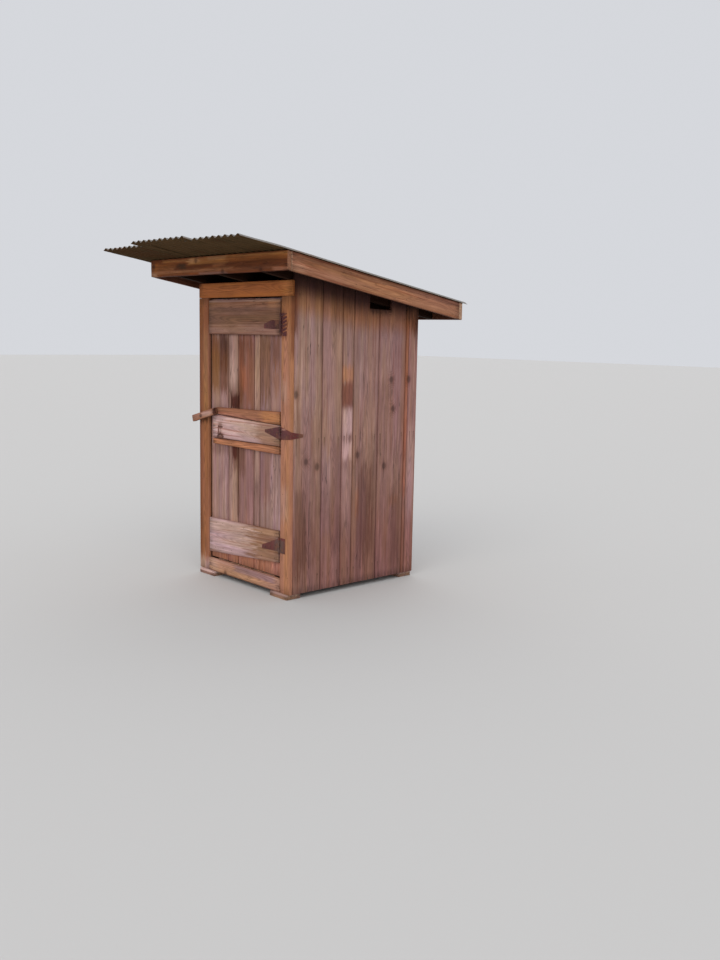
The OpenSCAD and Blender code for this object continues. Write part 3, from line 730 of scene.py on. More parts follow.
# Door surround: two upright trims, a header across their tops and the kick board under the door.
# Newer pine, still tan and orange, nailed to the posts. The kick board's skin is grey on its right half.
pine = wood(
    "pine trim", rings=0.28, streaks=0.3, cracks=0.3, dirt=0.1, fade=0.35, knots=0.35, skin=0.02,
    patches=[
        ((0.52, 0.33, 0.265), 0.9, (-0.485, 0, 0.06), (0.08, 0, 0.06), 0.05),
        ((0.18, 0.05, 0.018), 0.85, (-0.535, 0, 1.07), (0.02, 0, 0.92), 0.06),
        ((0.36, 0.14, 0.055), 0.8, (0.49, 0, 1.95), (0.08, 0, 0.14), 0.06),
        ((0.4, 0.2, 0.075), 0.5, (-0.46, 0, 1.5), (0.025, 0, 0.3), 0.06),
        ((0.3, 0.1, 0.033), 0.5, (-0.48, 0, 1.93), (0.07, 0, 0.14), 0.06),
        # Painted shadow of the turn button, on the left trim just below it.
        ((0.1, 0.03, 0.008), 0.9, (-0.52, 0, 1.14), (0.03, 0, 0.012), 0.02),
        ((0.1, 0.03, 0.008), 0.9, (-0.46, 0, 1.156), (0.032, 0, 0.012), 0.02),
        ((0.2, 0.06, 0.035), 0.75, (0.456, 0, 1.849), (0.02, 0, 0.08), 0.03),
        ((0.19, 0.062, 0.03), 0.9, (0.56, 0, 1.91), (0.024, 0, 0.26), 0.05),
        # Painted light on the left trim's edge beside the door, which lies in shade in the recess.
        ((0.38, 0.165, 0.09), 0.9, (-0.427, 0, 1.0), (0.005, 0, 0.85), 0.02),
        ((0.5, 0.3, 0.2), 0.6, (0.465, 0, 1.41), (0.03, 0, 0.06), 0.05),
        ((0.47, 0.27, 0.19), 0.6, (0.47, 0, 0.66), (0.05, 0, 0.11), 0.06),
    ])
pine_across = wood(
    "pine header", rings=0.2, streaks=0.4, cracks=0.3, dirt=0.25, fade=0.4, knots=0.35, run="X",
    patches=[((0.55, 0.21, 0.06), 0.7, (0.5, 0, 2.085), (0.06, 0, 0.07), 0.05)])
rough_boards("header_board", "hut", "X Z -Y", [(0.437, 0.142, 0.037)], pine_across)
rough_boards("left_trim", "hut", "Z X -Y", [(0.318, 0.121, 0.051)], pine, ends=0.001)
rough_boards("right_trim", "hut", "Z X -Y", [(0.444, 0.198, 0.106)], pine, ends=0.001)
kick_look = wood(
    "kick board wood", rings=0.25, streaks=0.4, dirt=0.3, fade=0.5, run="X",
    patches=[
        ((0.33, 0.19, 0.165), 0.95, (0.13, 0, 0.107), (0.23, 0, 0.024)),
        ((0.6, 0.37, 0.27), 0.6, (-0.37, 0, 0.09), (0.06, 0, 0.05), 0.05),
        ((0.2, 0.08, 0.05), 0.7, (0, 0, 0.035), (0.5, 0, 0.008)),
    ])
rough_boards("kick_board", "hut", "X Z -Y", [(0.5, 0.265, 0.17)], kick_look, cuts=(20, 5))
rough_boards("door_stop", "hut", "Z X -Y", [(0.3, 0.15, 0.08)], pine)

# Roof frame: three rafters over the walls and the middle, and four flat purlins across them.
# Old dark timber, painted near black as shade under the iron.
old_and_shaded = wood("sooty wood", rings=0.3, streaks=0.55, dirt=0.5, cracks=0.75)
old_and_shaded.node_tree.nodes["Principled BSDF"].inputs["Specular IOR Level"].default_value = 0.05
rough_boards("rafters", "hut", "Y X -Z", [shade_black_tint], old_and_shaded, cuts=(16, 5))
rough_boards("purlins", "hut", "X Y -Z", [shade_black_tint], old_and_shaded, cuts=(16, 5))

# Fascia and barge boards: thick boards round the edge of the roof, with a worn brown stain.
# The stain has gone in streaks, most along the lower edges, and the cut ends are pale. Their backs and
# undersides are painted dark as shade, the barge boards' tops carry a painted shadow of the sheets' edge, and
# the fascia's top a band of painted light.
fascia_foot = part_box("front_fascia")[0].z
# Painted shade on the back and under faces of the fascia and barge boards, under the eave.
soffit_shade = (0.3, 0.22, 0.18)
fascia_look = wood(
    "stained fascia wood", rings=0.15, streaks=0.8, cracks=0.5, dirt=0.2, knots=0.5, run="X",
    sawn=(0.34, 0.15, 0.08), back=soffit_shade,
    patches=[
        ((0.1, 0.026, 0.006), 0.75, (0.12, 0, fascia_foot + 0.052), (0.7, 0, 0.026), 0.05),
        # A lighter band along the top, painted light against the shade of the sheets.
        ((0.37, 0.15, 0.045), 0.85, (0.1, 0, fascia_foot + 0.108), (0.75, 0, 0.01)),
        ((0.39, 0.16, 0.042), 0.8, (-0.1, 0, fascia_foot + 0.087), (0.23, 0, 0.012)),
        ((0.3, 0.1, 0.024), 0.6, (0.45, 0, fascia_foot + 0.09), (0.33, 0, 0.01)),
        ((0.56, 0.28, 0.11), 0.75, (-0.265, 0, fascia_foot + 0.1), (0.07, 0, 0.018)),
        ((0.48, 0.24, 0.11), 0.65, (0.03, 0, fascia_foot + 0.108), (0.11, 0, 0.01)),
        ((0.27, 0.1, 0.036), 0.7, (0.055, 0, fascia_foot + 0.066), (0.07, 0, 0.014)),
        ((0.32, 0.13, 0.05), 0.7, (-0.58, 0, fascia_foot + 0.05), (0.07, 0, 0.012)),
        ((0.24, 0.08, 0.018), 0.85, (-0.7, 0, fascia_foot + 0.05), (0.16, 0, 0.035), 0.05),
        ((0.34, 0.14, 0.06), 0.9, (-0.3, 0, fascia_foot + 0.032), (0.52, 0, 0.009)),
        ((0.175, 0.06, 0.022), 0.8, (0.42, 0, fascia_foot + 0.024), (0.29, 0, 0.011)),
        ((0.37, 0.16, 0.08), 0.8, (0.72, 0, fascia_foot + 0.012), (0.07, 0, 0.01)),
        ((0.12, 0.034, 0.01), 0.7, (-0.48, 0, fascia_foot + 0.006), (0.18, 0, 0.012)),
        ((0.34, 0.19, 0.13), 0.75, (-0.03, 0, fascia_foot + 0.008), (0.15, 0, 0.008)),
        ((0.48, 0.26, 0.15), 0.9, (-0.79, 0, fascia_foot + 0.018), (0.05, 0, 0.014)),
        ((0.06, 0.026, 0.009), 0.9, (-0.4, 0, fascia_foot + 0.066), (0.045, 0, 0.018)),
        ((0.36, 0.12, 0.02), 0.7, (-0.76, 0, fascia_foot + 0.06), (0.025, 0, 0.03)),
    ])
stained = wood(
    "stained wood", rings=0.14, streaks=0.6, cracks=0.5, dirt=0.2, fade=1.1, knots=0.6, run="Y",
    sawn=(0.62, 0.37, 0.24), back=soffit_shade,
    patches=[
        ((0.2, 0.07, 0.024), 0.5, (0, -0.59, 2.2), (0, 0.08, 0.05), 0.05),
        ((0.47, 0.26, 0.14), 0.6, (0, -0.74, 2.19), (0, 0.04, 0.02), 0.04),
    ],
    bands=[
        # The two upper bands are a painted shadow of the sheets' edge along the boards' tops.
        ((0.08, 0.018, 0.009), 0.8, -0.02, 0.014),
        ((0.165, 0.066, 0.04), 0.7, 0.014, 0.038),
        ((0.4, 0.19, 0.1), 0.5, 0.075, 0.104),
    ])
for node, lie, tint, look in (
    ("front_fascia", "X Z -Y", (0.205, 0.055, 0.0105), fascia_look),
    ("rear_fascia", "X Z +Y", (0.24, 0.1, 0.048), stained),
    ("left_barge_board", "Y Z -X", (0.315, 0.138, 0.07), stained),
    ("right_barge_board", "Y Z +X", (0.335, 0.148, 0.075), stained),
):
    rough_boards(node, "hut", lie, [tint], look, wave=0.003)

# Roof sheets: three corrugated sheets of old galvanised iron, the middle one lapped over the other two.
# They stand well forward of the fascia and are nailed through their crests. Grey zinc above, with streaks
# of rust, and dark brown below, partly dirt and partly painted shade.
pitch = 0.066
wave_depth = 0.016
roof_edge = -0.921
lap_lift = 0.0023


def zinc(name, above):
    made, shader, field = material(name)
    place = field.node("ShaderNodeTexCoord", (), "Object")
    runs = speckle(place.vector("MULTIPLY", place, (34, 1.6, 1.6)), detail=3.0)
    blotch = speckle(place.vector("MULTIPLY", place, (3.1, 2.3, 2.3)), detail=3.0, rough=0.6)
    grit = speckle(place.vector("MULTIPLY", place, (260, 260, 260)))
    flakes = place.vector("MULTIPLY", place, (70, 70, 70))
    spangle = field.node("ShaderNodeTexVoronoi", {"Vector": flakes, "Scale": 1.0}, "Color").part("X")
    phase = (place.part("X") - roof_edge) * (2 * math.pi / pitch)
    valley = phase.maths("COSINE", phase) * 0.5 + 0.5
    rust = (blotch * 0.55 + runs * 0.45 + valley * 0.05).step(0.55, 0.64)
    if above:
        base = field.plain((0.22, 0.2, 0.18))
        base = base.blend((0.17, 0.165, 0.16, 1), spangle).blend((0.13, 0.105, 0.08, 1), valley * 0.35)
        base = base.blend((0.19, 0.078, 0.034, 1), rust * 0.85)
        metal = 0.65 - rust * 0.65
        rough = 0.5 + rust * 0.4 + grit * 0.1
    else:
        # Underside: dark olive brown, partly dirt and partly painted shade under the eave.
        base = field.plain((0.1, 0.058, 0.024))
        base = base.blend((0.068, 0.042, 0.017, 1), blotch.step(0.4, 0.6))
        base = base.blend((0.1, 0.04, 0.015, 1), rust * 0.6)
        metal = rust * 0.1
        rough = 0.8 + grit * 0.2
        shader.inputs["Specular IOR Level"].default_value = 0.12
    base = base.blend((0.06, 0.045, 0.03, 1), (grit - 0.55).step(0.0, 0.2) * 0.4)
    relief = grit * 0.5 + rust + blotch
    bump = field.node("ShaderNodeBump", {"Strength": 0.5, "Distance": 0.0008, "Height": relief})
    connect(made, {"Base Color": base, "Metallic": metal, "Roughness": rough, "Normal": bump})
    return made


def sheet_tree():
    """One sheet that runs from the origin along +Y, its waves across it and its front end a little bent."""
    sizes = {
        "Width": "Float", "Length": "Float", "Pitch": "Float", "Wave": "Float", "Columns": "Int",
        "Rows": "Int", "Bend": "Float", "Seed": "Float", "Material": "Material"}
    tree, given = new_tree("corrugated sheet", sizes)
    field = Field(tree)
    values = {
        "Size X": given["Width"], "Size Y": given["Length"],
        "Vertices X": given["Columns"], "Vertices Y": given["Rows"]}
    grid = field.node("GeometryNodeMeshGrid", values)
    here = field.node("GeometryNodeInputPosition")
    x, y = here.part("X") + given["Width"] / 2, here.part("Y") + given["Length"] / 2
    turn = x / given["Pitch"] * (2 * math.pi)
    rise = (1 - turn.maths("COSINE", turn)) * (given["Wave"] / 2)
    loose = 1 - (y / 0.34).step(0.0, 1.0)
    knocks = speckle(field.node("ShaderNodeCombineXYZ", {0: x * 4.3, 1: y * 2.2, 2: given["Seed"]}))
    rise = rise - knocks * loose * given["Bend"]
    spot = field.node("ShaderNodeCombineXYZ", {0: x, 1: y, 2: rise})
    waved = field.node("GeometryNodeSetPosition", {"Geometry": grid, "Position": spot})
    return close_tree(waved, given["Material"])


zinc_above, zinc_below = zinc("zinc above", True), zinc("zinc below", False)
corrugated_tree = sheet_tree()
roof_tilt = Matrix.Rotation(-roof_slope, 4, "X")
roof_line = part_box("front_fascia")[1].z
for number, side in enumerate(("left", "middle", "right")):
    low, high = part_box(side + "_roof_sheet")
    lift = lap_lift if side == "middle" else 0
    length = (high.y - low.y - 0.008) / math.cos(roof_slope)
    front_z = roof_line - (low.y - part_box("front_fascia")[0].y) * roof_fall
    blank = bpy.data.objects.new("sheet", bpy.data.meshes.new("sheet"))
    bpy.context.collection.objects.link(blank)
    sizes = {
        "Width": high.x - low.x - 0.001, "Length": length, "Pitch": pitch, "Wave": wave_depth,
        "Columns": 121, "Rows": 34, "Bend": 0.012, "Seed": 3.7 * number + 1.3, "Material": zinc_above}
    sheet = grow(side + "_roof_sheet_zinc", blank, corrugated_tree, sizes)
    skin = sheet.modifiers.new("skin", "SOLIDIFY")
    skin.thickness = 0.0019
    skin.offset = 1
    solid = plain_mesh(sheet)
    sheet.modifiers.remove(skin)
    sheet.data = solid
    solid.materials.append(zinc_below)
    for face in solid.polygons:
        face.material_index = 1 if face.normal.z < -0.2 else 0
    sloped = Matrix.Translation((low.x + 0.0005, low.y + 0.003, front_z)) @ roof_tilt
    solid.transform(sloped @ Matrix.Translation((0, 0, lift)))
    solid.set_sharp_from_angle(angle=crease)
    finish_piece(sheet, "hut", [side + "_roof_sheet"])

# Door: five upright boards of unlike widths, two of them narrow and pale, the others dark at the top.
# A knot hole's dark weeping runs down the second board behind the rail.
door_look = wood(
    "door wood", rings=0.22, streaks=0.55, knots=0,
    patches=[
        ((0.2, 0.065, 0.025), 0.85, (-0.37, 0, 1.66), (0.055, 0, 0.13), 0.08),
        ((0.112, 0.037, 0.019), 0.9, (-0.262, 0, 1.66), (0.05, 0, 0.12), 0.08),
        ((0.256, 0.107, 0.037), 0.85, (-0.37, 0, 1.48), (0.055, 0, 0.18), 0.08),
        ((0.156, 0.053, 0.016), 0.8, (-0.262, 0, 1.47), (0.05, 0, 0.18), 0.08),
        ((0.46, 0.26, 0.215), 0.6, (-0.39, 0, 0.7), (0.035, 0, 0.42), 0.08),
        ((0.2, 0.051, 0.011), 0.75, (-0.045, 0, 1.54), (0.035, 0, 0.24), 0.08),
        ((0.265, 0.095, 0.045), 0.75, (0.05, 0, 1.52), (0.045, 0, 0.25), 0.08),
        ((0.42, 0.14, 0.065), 0.6, (-0.015, 0, 1.46), (0.035, 0, 0.07), 0.06),
        ((0.2, 0.082, 0.033), 0.75, (0.235, 0, 1.57), (0.065, 0, 0.24), 0.08),
        ((0.205, 0.078, 0.032), 0.75, (0.35, 0, 1.68), (0.045, 0, 0.11), 0.06),
        ((0.34, 0.155, 0.075), 0.75, (0.35, 0, 1.42), (0.045, 0, 0.16), 0.08),
        ((0.265, 0.128, 0.115), 0.75, (0.23, 0, 0.82), (0.06, 0, 0.18), 0.08),
        ((0.43, 0.265, 0.24), 0.7, (0.35, 0, 0.62), (0.045, 0, 0.14), 0.08),
        ((0.13, 0.05, 0.025), 0.55, (-0.11, 0, 1.345), (0.08, 0, 0.1), 0.06),
        # Painted shade under the lower rail strip.
        ((0.17, 0.08, 0.055), 0.5, (-0.29, 0, 0.95), (0.14, 0, 0.03), 0.03),
        ((0.49, 0.32, 0.23), 0.7, (-0.15, 0, 1.5), (0.045, 0, 0.09), 0.06),
        ((0.5, 0.31, 0.27), 0.55, (-0.32, 0, 1.32), (0.1, 0, 0.05), 0.05),
        ((0.44, 0.275, 0.23), 0.5, (0.35, 0, 1.33), (0.045, 0, 0.08), 0.06),
        # Painted shade under the top batten.
        ((0.17, 0.06, 0.03), 0.55, (0, 0, 1.71), (0.09, 0, 0.035), 0.05),
        ((0.07, 0.024, 0.013), 0.6, (-0.262, 0, 1.71), (0.05, 0, 0.05), 0.05),
        ((0.13, 0.045, 0.027), 0.6, (-0.085, 0, 0.92), (0.085, 0, 0.11), 0.06),
        ((0.08, 0.02, 0.01), 1, (-0.121, 0, 1.305), (0.056, 0, 0.055), 0.03),
        ((0.095, 0.022, 0.012), 1, (-0.115, 0, 0.95), (0.04, 0, 0.05), 0.03),
        ((0.14, 0.06, 0.04), 0.8, (-0.085, 0, 0.75), (0.016, 0, 0.25), 0.05),
        ((0.27, 0.155, 0.118), 1, (0.14, 0, 0.58), (0.04, 0, 0.2), 0.06),
        ((0.49, 0.2, 0.125), 0.9, (0, 0, 0.16), (0.6, 0, 0.09), 0.03),
    ])
door_tints = [
    (0.365, 0.216, 0.186), (0.41, 0.245, 0.182), (0.305, 0.158, 0.132), (0.4, 0.239, 0.169),
    (0.34, 0.203, 0.186)]
rough_boards("door_boards", "door", "Z X -Y", door_tints, door_look, cuts=(28, 7))

# Boards nailed across the door: a wide grey one at the top, the bleached rail between two tan strips,
# and a bleached one at the foot that hangs askew. Each is sawn off roughly at the latch end.
batten_look = wood("top batten wood", rings=0.25, streaks=0.6, knots=0, run="X", patches=[
    ((0.37, 0.2, 0.135), 0.8, (-0.05, 0, 1.812), (0.44, 0, 0.032), 0.04),
    ((0.36, 0.17, 0.085), 0.7, (0, 0, 1.985), (0.5, 0, 0.02), 0.03),
    ((0.46, 0.22, 0.1), 0.7, (0.35, 0, 1.985), (0.06, 0, 0.025), 0.03),
    ((0.46, 0.28, 0.215), 0.85, (0, 0, 2.01), (0.5, 0, 0.005)),
])
rough_boards("top_batten", "door", "X Z -Y", [(0.22, 0.108, 0.066)], batten_look)
strip_look = wood(
    "strip wood", rings=0.3, streaks=0.4, knots=0, run="X",
    patches=[((0.53, 0.225, 0.1), 0.9, (0.32, 0, 1.235), (0.11, 0, 0.05), 0.05)])
for strip, tint in (("upper_rail_strip", (0.37, 0.155, 0.093)), ("lower_rail_strip", (0.46, 0.19, 0.086))):
    rough_boards(strip, "door", "X Z -Y", [tint], strip_look, cuts=(26, 5))
rail_look = wood("bleached rail wood", rings=0.16, streaks=0.7, fade=1.7, knots=0, run="X", patches=[
    ((0.36, 0.19, 0.115), 0.9, (0.4, 0, 1.05), (0.2, 0, 0.04), 0.07),
    ((0.32, 0.16, 0.105), 0.65, (0.27, 0, 1.13), (0.11, 0, 0.06), 0.06),
    ((0.68, 0.46, 0.4), 0.8, (-0.1, 0, 1.16), (0.13, 0, 0.03), 0.04),
    ((0.19, 0.09, 0.055), 0.85, (-0.28, 0, 1.05), (0.034, 0, 0.022), 0.02),
    ((0.27, 0.15, 0.11), 0.7, (-0.28, 0, 1.1), (0.014, 0, 0.05), 0.02),
])
rough_boards("middle_rail", "door", "X Z -Y", [(0.52, 0.34, 0.29)], rail_look)
foot_look = wood(
    "bleached foot wood", rings=0.16, streaks=0.6, fade=1.5, knots=0, run="X",
    patches=[((0.29, 0.15, 0.09), 0.95, (0.28, 0, 0.33), (0.19, 0, 0.25), 0.13)])
rough_boards("bottom_batten", "door", "X Z -Y", [(0.51, 0.335, 0.305)], foot_look)

# Hinges: two tee hinges and between them a long strap hinge, of rusty iron. Their straps are screwed to the
# door's cross boards and their leaves to the right trim, and the middle leaf runs on round the corner.
# Knuckles and pins keep the CAD's places, and the iron's edges are worn round.
def iron(name, tone=(0.165, 0.042, 0.034), worn=0.6, patches=()):
    made, shader, field = material(name)
    place = field.node("ShaderNodeTexCoord", (), "Object")
    crust = speckle(place.vector("MULTIPLY", place, (90, 90, 90)), detail=4.0, rough=0.65)
    scale = speckle(place.vector("MULTIPLY", place, (19, 19, 19)), detail=2.0)
    base = field.plain(tone)
    base = base.blend(base.times((0.42, 0.5, 0.6, 1)), (scale * 0.5 + crust * 0.5).step(0.42, 0.58))
    for colour, share, centre, reach, soft in patches:
        base = base.blend((*colour, 1), patch(place, centre, reach, "X", crust, soft) * share)
    base = base.blend((0.2, 0.07, 0.035, 1), scale.step(0.5, 0.68) * worn)
    base = base.blend((0.27, 0.115, 0.05, 1), crust.step(0.56, 0.7) * worn)
    bump = field.node("ShaderNodeBump", {"Strength": 0.9, "Distance": 0.0011, "Height": crust + scale * 0.6})
    connect(made, {"Base Color": base, "Roughness": 0.86 - crust * 0.3, "Normal": bump})
    shader.inputs["Metallic"].default_value = 0.25
    return made


def forged(node, body, look):
    """A copy of a CAD node's iron with its edges rounded, which stands in the node's place."""
    made = bmesh.new()
    made.from_mesh(frame["nodes"][node].data)
    bmesh.ops.remove_doubles(made, verts=made.verts, dist=1e-6)
    bmesh.ops.dissolve_limit(made, angle_limit=math.radians(1), verts=made.verts, edges=made.edges)
    mesh = bpy.data.meshes.new(node + "_iron")
    made.to_mesh(mesh)
    made.free()
    mesh.materials.clear()
    mesh.materials.append(look)
    piece = bpy.data.objects.new(node + "_iron", mesh)
    bpy.context.collection.objects.link(piece)
    rounding = round_edges(piece, 0.0006)
    mesh = plain_mesh(piece)
    piece.modifiers.remove(rounding)
    piece.data = mesh
    smooth(mesh)
    return finish_piece(piece, body, [node])


hinge_iron = iron("hinge iron", patches=[
    ((0.045, 0.013, 0.018), 0.85, (0.45, 0, 1.849), (0.035, 0, 0.1), 0.02),
    ((0.03, 0.005, 0.008), 0.9, (0.345, 0, 1.845), (0.04, 0, 0.06), 0.03),
    ((0.026, 0.018, 0.004), 0.9, (0.395, 0, 1.845), (0.025, 0, 0.06), 0.02),
    ((0.09, 0.03, 0.028), 0.7, (0.3, 0, 1.845), (0.03, 0, 0.06), 0.03),
    ((0.12, 0.045, 0.03), 0.8, (0.28, 0, 1.13), (0.025, 0, 0.06), 0.02),
    ((0.065, 0.026, 0.034), 0.75, (0.385, 0, 1.13), (0.075, 0, 0.06), 0.03),
    ((0.035, 0.012, 0.01), 0.85, (0.43, 0, 1.16), (0.016, 0, 0.03), 0.02),
    ((0.05, 0.015, 0.012), 0.85, (0.46, 0, 1.088), (0.06, 0, 0.01), 0.02),
    # A pale spot on the middle hinge's leaf: a painted glint.
    ((0.52, 0.27, 0.2), 0.85, (0.468, 0, 1.158), (0.018, 0, 0.006), 0.01),
    ((0.1, 0.04, 0.045), 0.7, (0.48, 0, 1.12), (0.03, 0, 0.03), 0.02),
    ((0.13, 0.02, 0.019), 0.85, (0.54, -0.56, 1.12), (0, 0.028, 0), 0.02),
    ((0.2, 0.08, 0.038), 0.6, (0.54, -0.5, 1.12), (0, 0.022, 0), 0.02),
    ((0.11, 0.075, 0.06), 0.7, (0.43, 0, 0.34), (0.05, 0, 0.06), 0.03),
])
for place in ("top", "middle", "bottom"):
    forged(place + "_hinge_strap", "door", hinge_iron)
    forged(place + "_hinge_plate", "hut", hinge_iron)
forged("door_pull", "door", iron("pull iron", (0.2, 0.088, 0.066), worn=0.5))

# Turn button: an offcut with worn corners that turns on a bolt through the left trim and holds the door shut.
# A coach bolt and two washers hold it a finger's width off the trim, with its longer arm over the door.
button_look = wood("button wood", rings=0.25, streaks=0.5, dirt=0.5, knots=0, run="X", patches=[
    # Painted highlight along the button's upper edge, and painted shade on its right end.
    ((0.5, 0.3, 0.235), 0.8, (-0.41, 0, 1.203), (0.07, 0, 0.02), 0.03),
    ((0.075, 0.016, 0.006), 0.95, (-0.314, 0, 1.225), (0.016, 0, 0.08), 0.012),
])
bolt_at = Vector(next(j for j in frame["joints"] if j["name"] == "button_turn")["pos_m"])
tilt = Matrix.Rotation(math.radians(-14.4), 3, "Y")
button_length = 0.305
button_width = 0.05
button_thick = 0.025
off_bolt = 0.033
corners = {}
for far, high, back in itertools.product((0, 1), repeat=3):
    x = (far - 0.5) * button_length + off_bolt
    corner = Vector((x, (back - 0.5) * button_thick, (high - 0.5) * button_width))
    corners[far, high, back] = bolt_at + tilt @ corner
button = rough_boards(
    "turn_button", "latch", "", [(0.4, 0.195, 0.127)], button_look,
    boards=[corners], cuts=(12, 5), ends=0.004, bevel=0.004)
bolt_hole = 0.0052
drill = bmesh.new()
bmesh.ops.create_cone(drill, cap_ends=True, segments=24, radius1=bolt_hole, radius2=bolt_hole, depth=0.06)
bmesh.ops.rotate(drill, matrix=Matrix.Rotation(math.radians(90), 3, "X"), verts=drill.verts)
bmesh.ops.translate(drill, vec=bolt_at, verts=drill.verts)
cut_away(button, drill)
forged("button_bolt", "hut", iron("bolt iron", (0.26, 0.12, 0.08)))

# Nails: wire nails with rusty heads, two in each board at every rail, driven flush or a little proud.
# Each board's nails are set in from its edges, and a narrow board gets one in the middle.
def heads_tree():
    """Each point gets a round head that faces the way its point says, turned and sized a little by chance."""
    sizes = {
        "Radius": "Float", "Rise": "Float", "Sink": "Float", "Sides": "Int", "Tilt": "Float",
        "Seed": "Int", "Material": "Material"}
    tree, given = new_tree("nail heads", sizes)
    field = Field(tree)
    cone = {
        "Vertices": given["Sides"], "Radius Top": given["Radius"] * 0.6, "Radius Bottom": given["Radius"],
        "Depth": given["Rise"] + given["Sink"]}
    head = field.node("GeometryNodeMeshCone", cone)
    down = field.node("ShaderNodeCombineXYZ", {2: given["Sink"] * -1})
    head = field.node("GeometryNodeTransform", {"Geometry": head, "Translation": down})
    vectors = {"data_type": "FLOAT_VECTOR"}
    out = field.node("GeometryNodeInputNamedAttribute", {"Name": "out"}, "Attribute", **vectors)
    span = {"Min": (-1, -1, -1), "Max": (1, 1, 1), "Seed": given["Seed"]}
    sway = field.node("FunctionNodeRandomValue", span, "Value", **vectors)
    sway = sway.vector("MULTIPLY", sway, given["Tilt"].thrice())
    way = out.vector("ADD", out, sway)
    stand = field.node("FunctionNodeAlignRotationToVector", {"Vector": way}, axis="Z")
    span = {2: 0.85, 3: 1.15, "Seed": given["Seed"] + 1}
    size = field.node("FunctionNodeRandomValue", span, 1, data_type="FLOAT")
    values = {"Points": given["Geometry"], "Instance": head, "Rotation": stand, "Scale": size.thrice()}
    many = field.node("GeometryNodeInstanceOnPoints", values)
    return close_tree(many, given["Material"])


nail_heads_tree = heads_tree()


def heads(name, body, spots, look, radius=0.0042, rise=0.0008, sink=0.002, sides=9, tilt=0.12):
    """One piece of many heads. spots are pairs of a place and the way that the head there faces."""
    mesh = bpy.data.meshes.new(name)
    mesh.from_pydata([place for place, out in spots], [], [])
    ways = [part for place, out in spots for part in out]
    mesh.attributes.new("out", "FLOAT_VECTOR", "POINT").data.foreach_set("vector", ways)
    blank = bpy.data.objects.new(name + " points", mesh)
    bpy.context.collection.objects.link(blank)
    sizes = {
        "Radius": radius, "Rise": rise, "Sink": sink, "Sides": sides, "Tilt": tilt, "Seed": 5,
        "Material": look}
    return finish_piece(grow(name, blank, nail_heads_tree, sizes), body)


def nailed(node, axis, lines, inset=nail_inset, only=None):
    """Places for two nails at each line across each board. lines are places on the axis that the boards run
    along, and only lists the boards that get nails, by number."""
    spots = []
    for number, board in enumerate(laid[node]):
        if only is not None and number not in only:
            continue
        low, high, far = board[0, 0, 0], board[0, 1, 0], board[1, 0, 0]
        width = (high - low).length
        out = -(board[0, 0, 1] - low).normalized()
        sides = (inset / width, 1 - inset / width) if width > 2.6 * inset else (0.5,)
        for line in lines:
            share = (line - low["XYZ".index(axis)]) / (far - low)["XYZ".index(axis)]
            for side in sides:
                side += random.uniform(-0.003, 0.003) / width
                up = share + random.uniform(-0.008, 0.008) / (far - low).length
                front = low.lerp(far, up).lerp(high.lerp(board[1, 1, 0], up), side)
                spots.append((front - out * 0.0008, out))
    return spots


nail_iron = iron("nail iron", (0.05, 0.026, 0.019))
hut_nails = []
for side in ("left", "right"):
    hut_nails += nailed(side + "_wall_boards", "Z", girt_lines)
    for number, board in enumerate(laid[side + "_wall_boards"]):
        top = min(board[1, 0, 0].z, board[1, 1, 0].z) - 0.09
        hut_nails += nailed(side + "_wall_boards", "Z", [top], only=[number])
    hut_nails += nailed(side + "_trim", "Z", (0.16, 0.72, 1.36, 1.97), inset=0.03)
hut_nails += nailed("rear_wall_boards", "Z", rear_lines)
hut_nails += nailed("header_board", "X", (-0.5, 0.5))
hut_nails += nailed("kick_board", "X", (-0.39, 0.395))
for end in ("front", "rear"):
    hut_nails += nailed(end + "_fascia", "X", (-0.5, 0, 0.5), inset=0.03)
purlin_lines = [purlin[0, 0, 0].y + 0.044 for purlin in laid["purlins"]]
for side in ("left", "right"):
    hut_nails += nailed(side + "_barge_board", "Y", purlin_lines, inset=0.03)
heads("hut_nails", "hut", hut_nails, nail_iron)

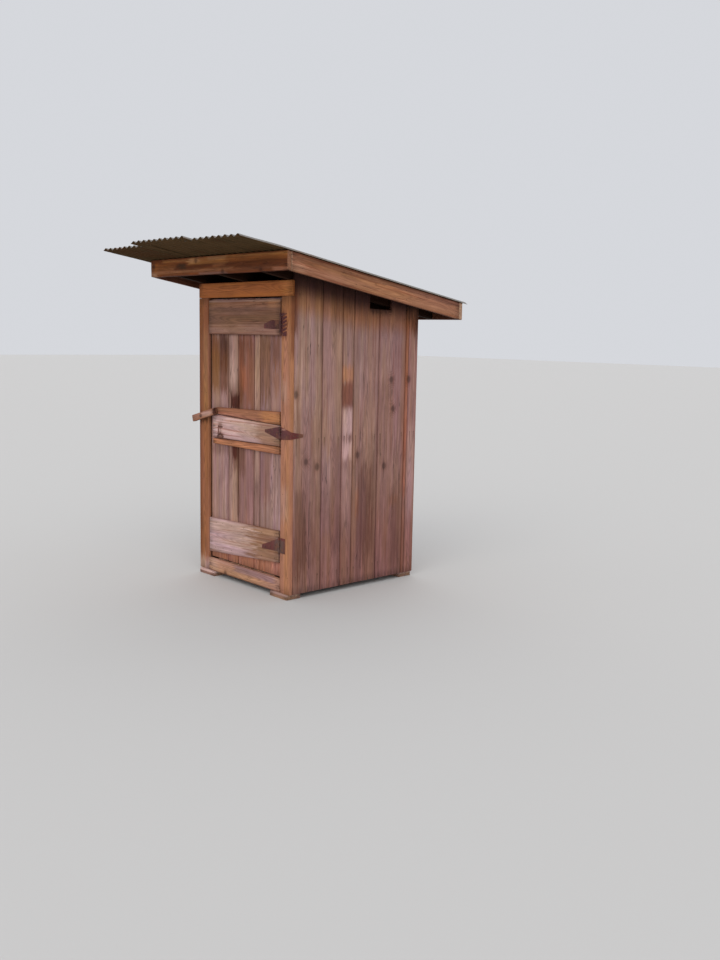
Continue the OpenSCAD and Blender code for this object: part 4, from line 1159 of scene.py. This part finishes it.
door_nails = []
for batten in ("top_batten", "middle_rail", "bottom_batten"):
    door_nails += nailed(batten, "X", (-0.335, -0.25, -0.14, 0.01, 0.14, 0.22, 0.37), inset=0.035)
for strip in ("upper_rail_strip", "lower_rail_strip"):
    door_nails += nailed(strip, "X", (-0.29, -0.14, 0.02, 0.29), inset=0.03)
heads("door_nails", "door", door_nails, nail_iron)

# Roof nails: broad lead-capped nails, driven through every third crest of the sheets into the four purlins.
# Their dull caps stand proud of the iron.
lead = iron("lead caps", (0.16, 0.155, 0.15), worn=0.5)
caps = []
normal = roof_tilt.to_3x3() @ Vector((0, 0, 1))
middle_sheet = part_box("middle_roof_sheet")
for purlin in laid["purlins"]:
    y = (purlin[0, 0, 0].y + purlin[0, 1, 0].y) / 2
    for crest in range(26):
        if crest % 3 == 1:
            x = roof_edge + pitch * (crest - 0.5)
            lift = 0.0183 + (lap_lift if middle_sheet[0].x < x < middle_sheet[1].x else 0)
            z = roof_line - (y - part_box("front_fascia")[0].y) * roof_fall
            caps.append((Vector((x, y, z)) + normal * lift, normal))
heads("roof_nails", "hut", caps, lead, radius=0.009, rise=0.004, sink=0.002, sides=12, tilt=0.05)

# Hinge screws: round-headed screws of dull iron, three through each strap and three down each leaf.
# Three more hold the part of the middle leaf that lies on the side wall.
screw_iron = iron("screw iron", (0.115, 0.065, 0.048), worn=0.4)
front = Vector((0, -1, 0))
leaf_face = -0.589
pin_x = 0.428
door_screws, leaf_screws = [], []
for place, sag, half in (("top", 0.011, 0.06), ("middle", -0.004, 0.022), ("bottom", 0.04, 0.035)):
    low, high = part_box(place + "_hinge_plate")
    z = (low.z + high.z) / 2
    reach = pin_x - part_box(place + "_hinge_strap")[0].x
    for share in (0.2, 0.5, 0.82):
        door_screws.append((Vector((pin_x - reach * share, leaf_face, z - sag * share)), front))
    for rise in (-half, 0, half):
        leaf_screws.append((Vector((0.441, leaf_face, z + rise)), front))
z = sum(v.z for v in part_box("middle_hinge_plate")) / 2 - 0.01
for y in (-0.566, -0.54, -0.515):
    leaf_screws.append((Vector((0.547, y, z)), Vector((1, 0, 0))))
for name, body, spots in (("door_screws", "door", door_screws), ("leaf_screws", "hut", leaf_screws)):
    heads(name, body, spots, screw_iron, radius=0.0052, rise=0.0022, sink=0.001, sides=12, tilt=0.03)
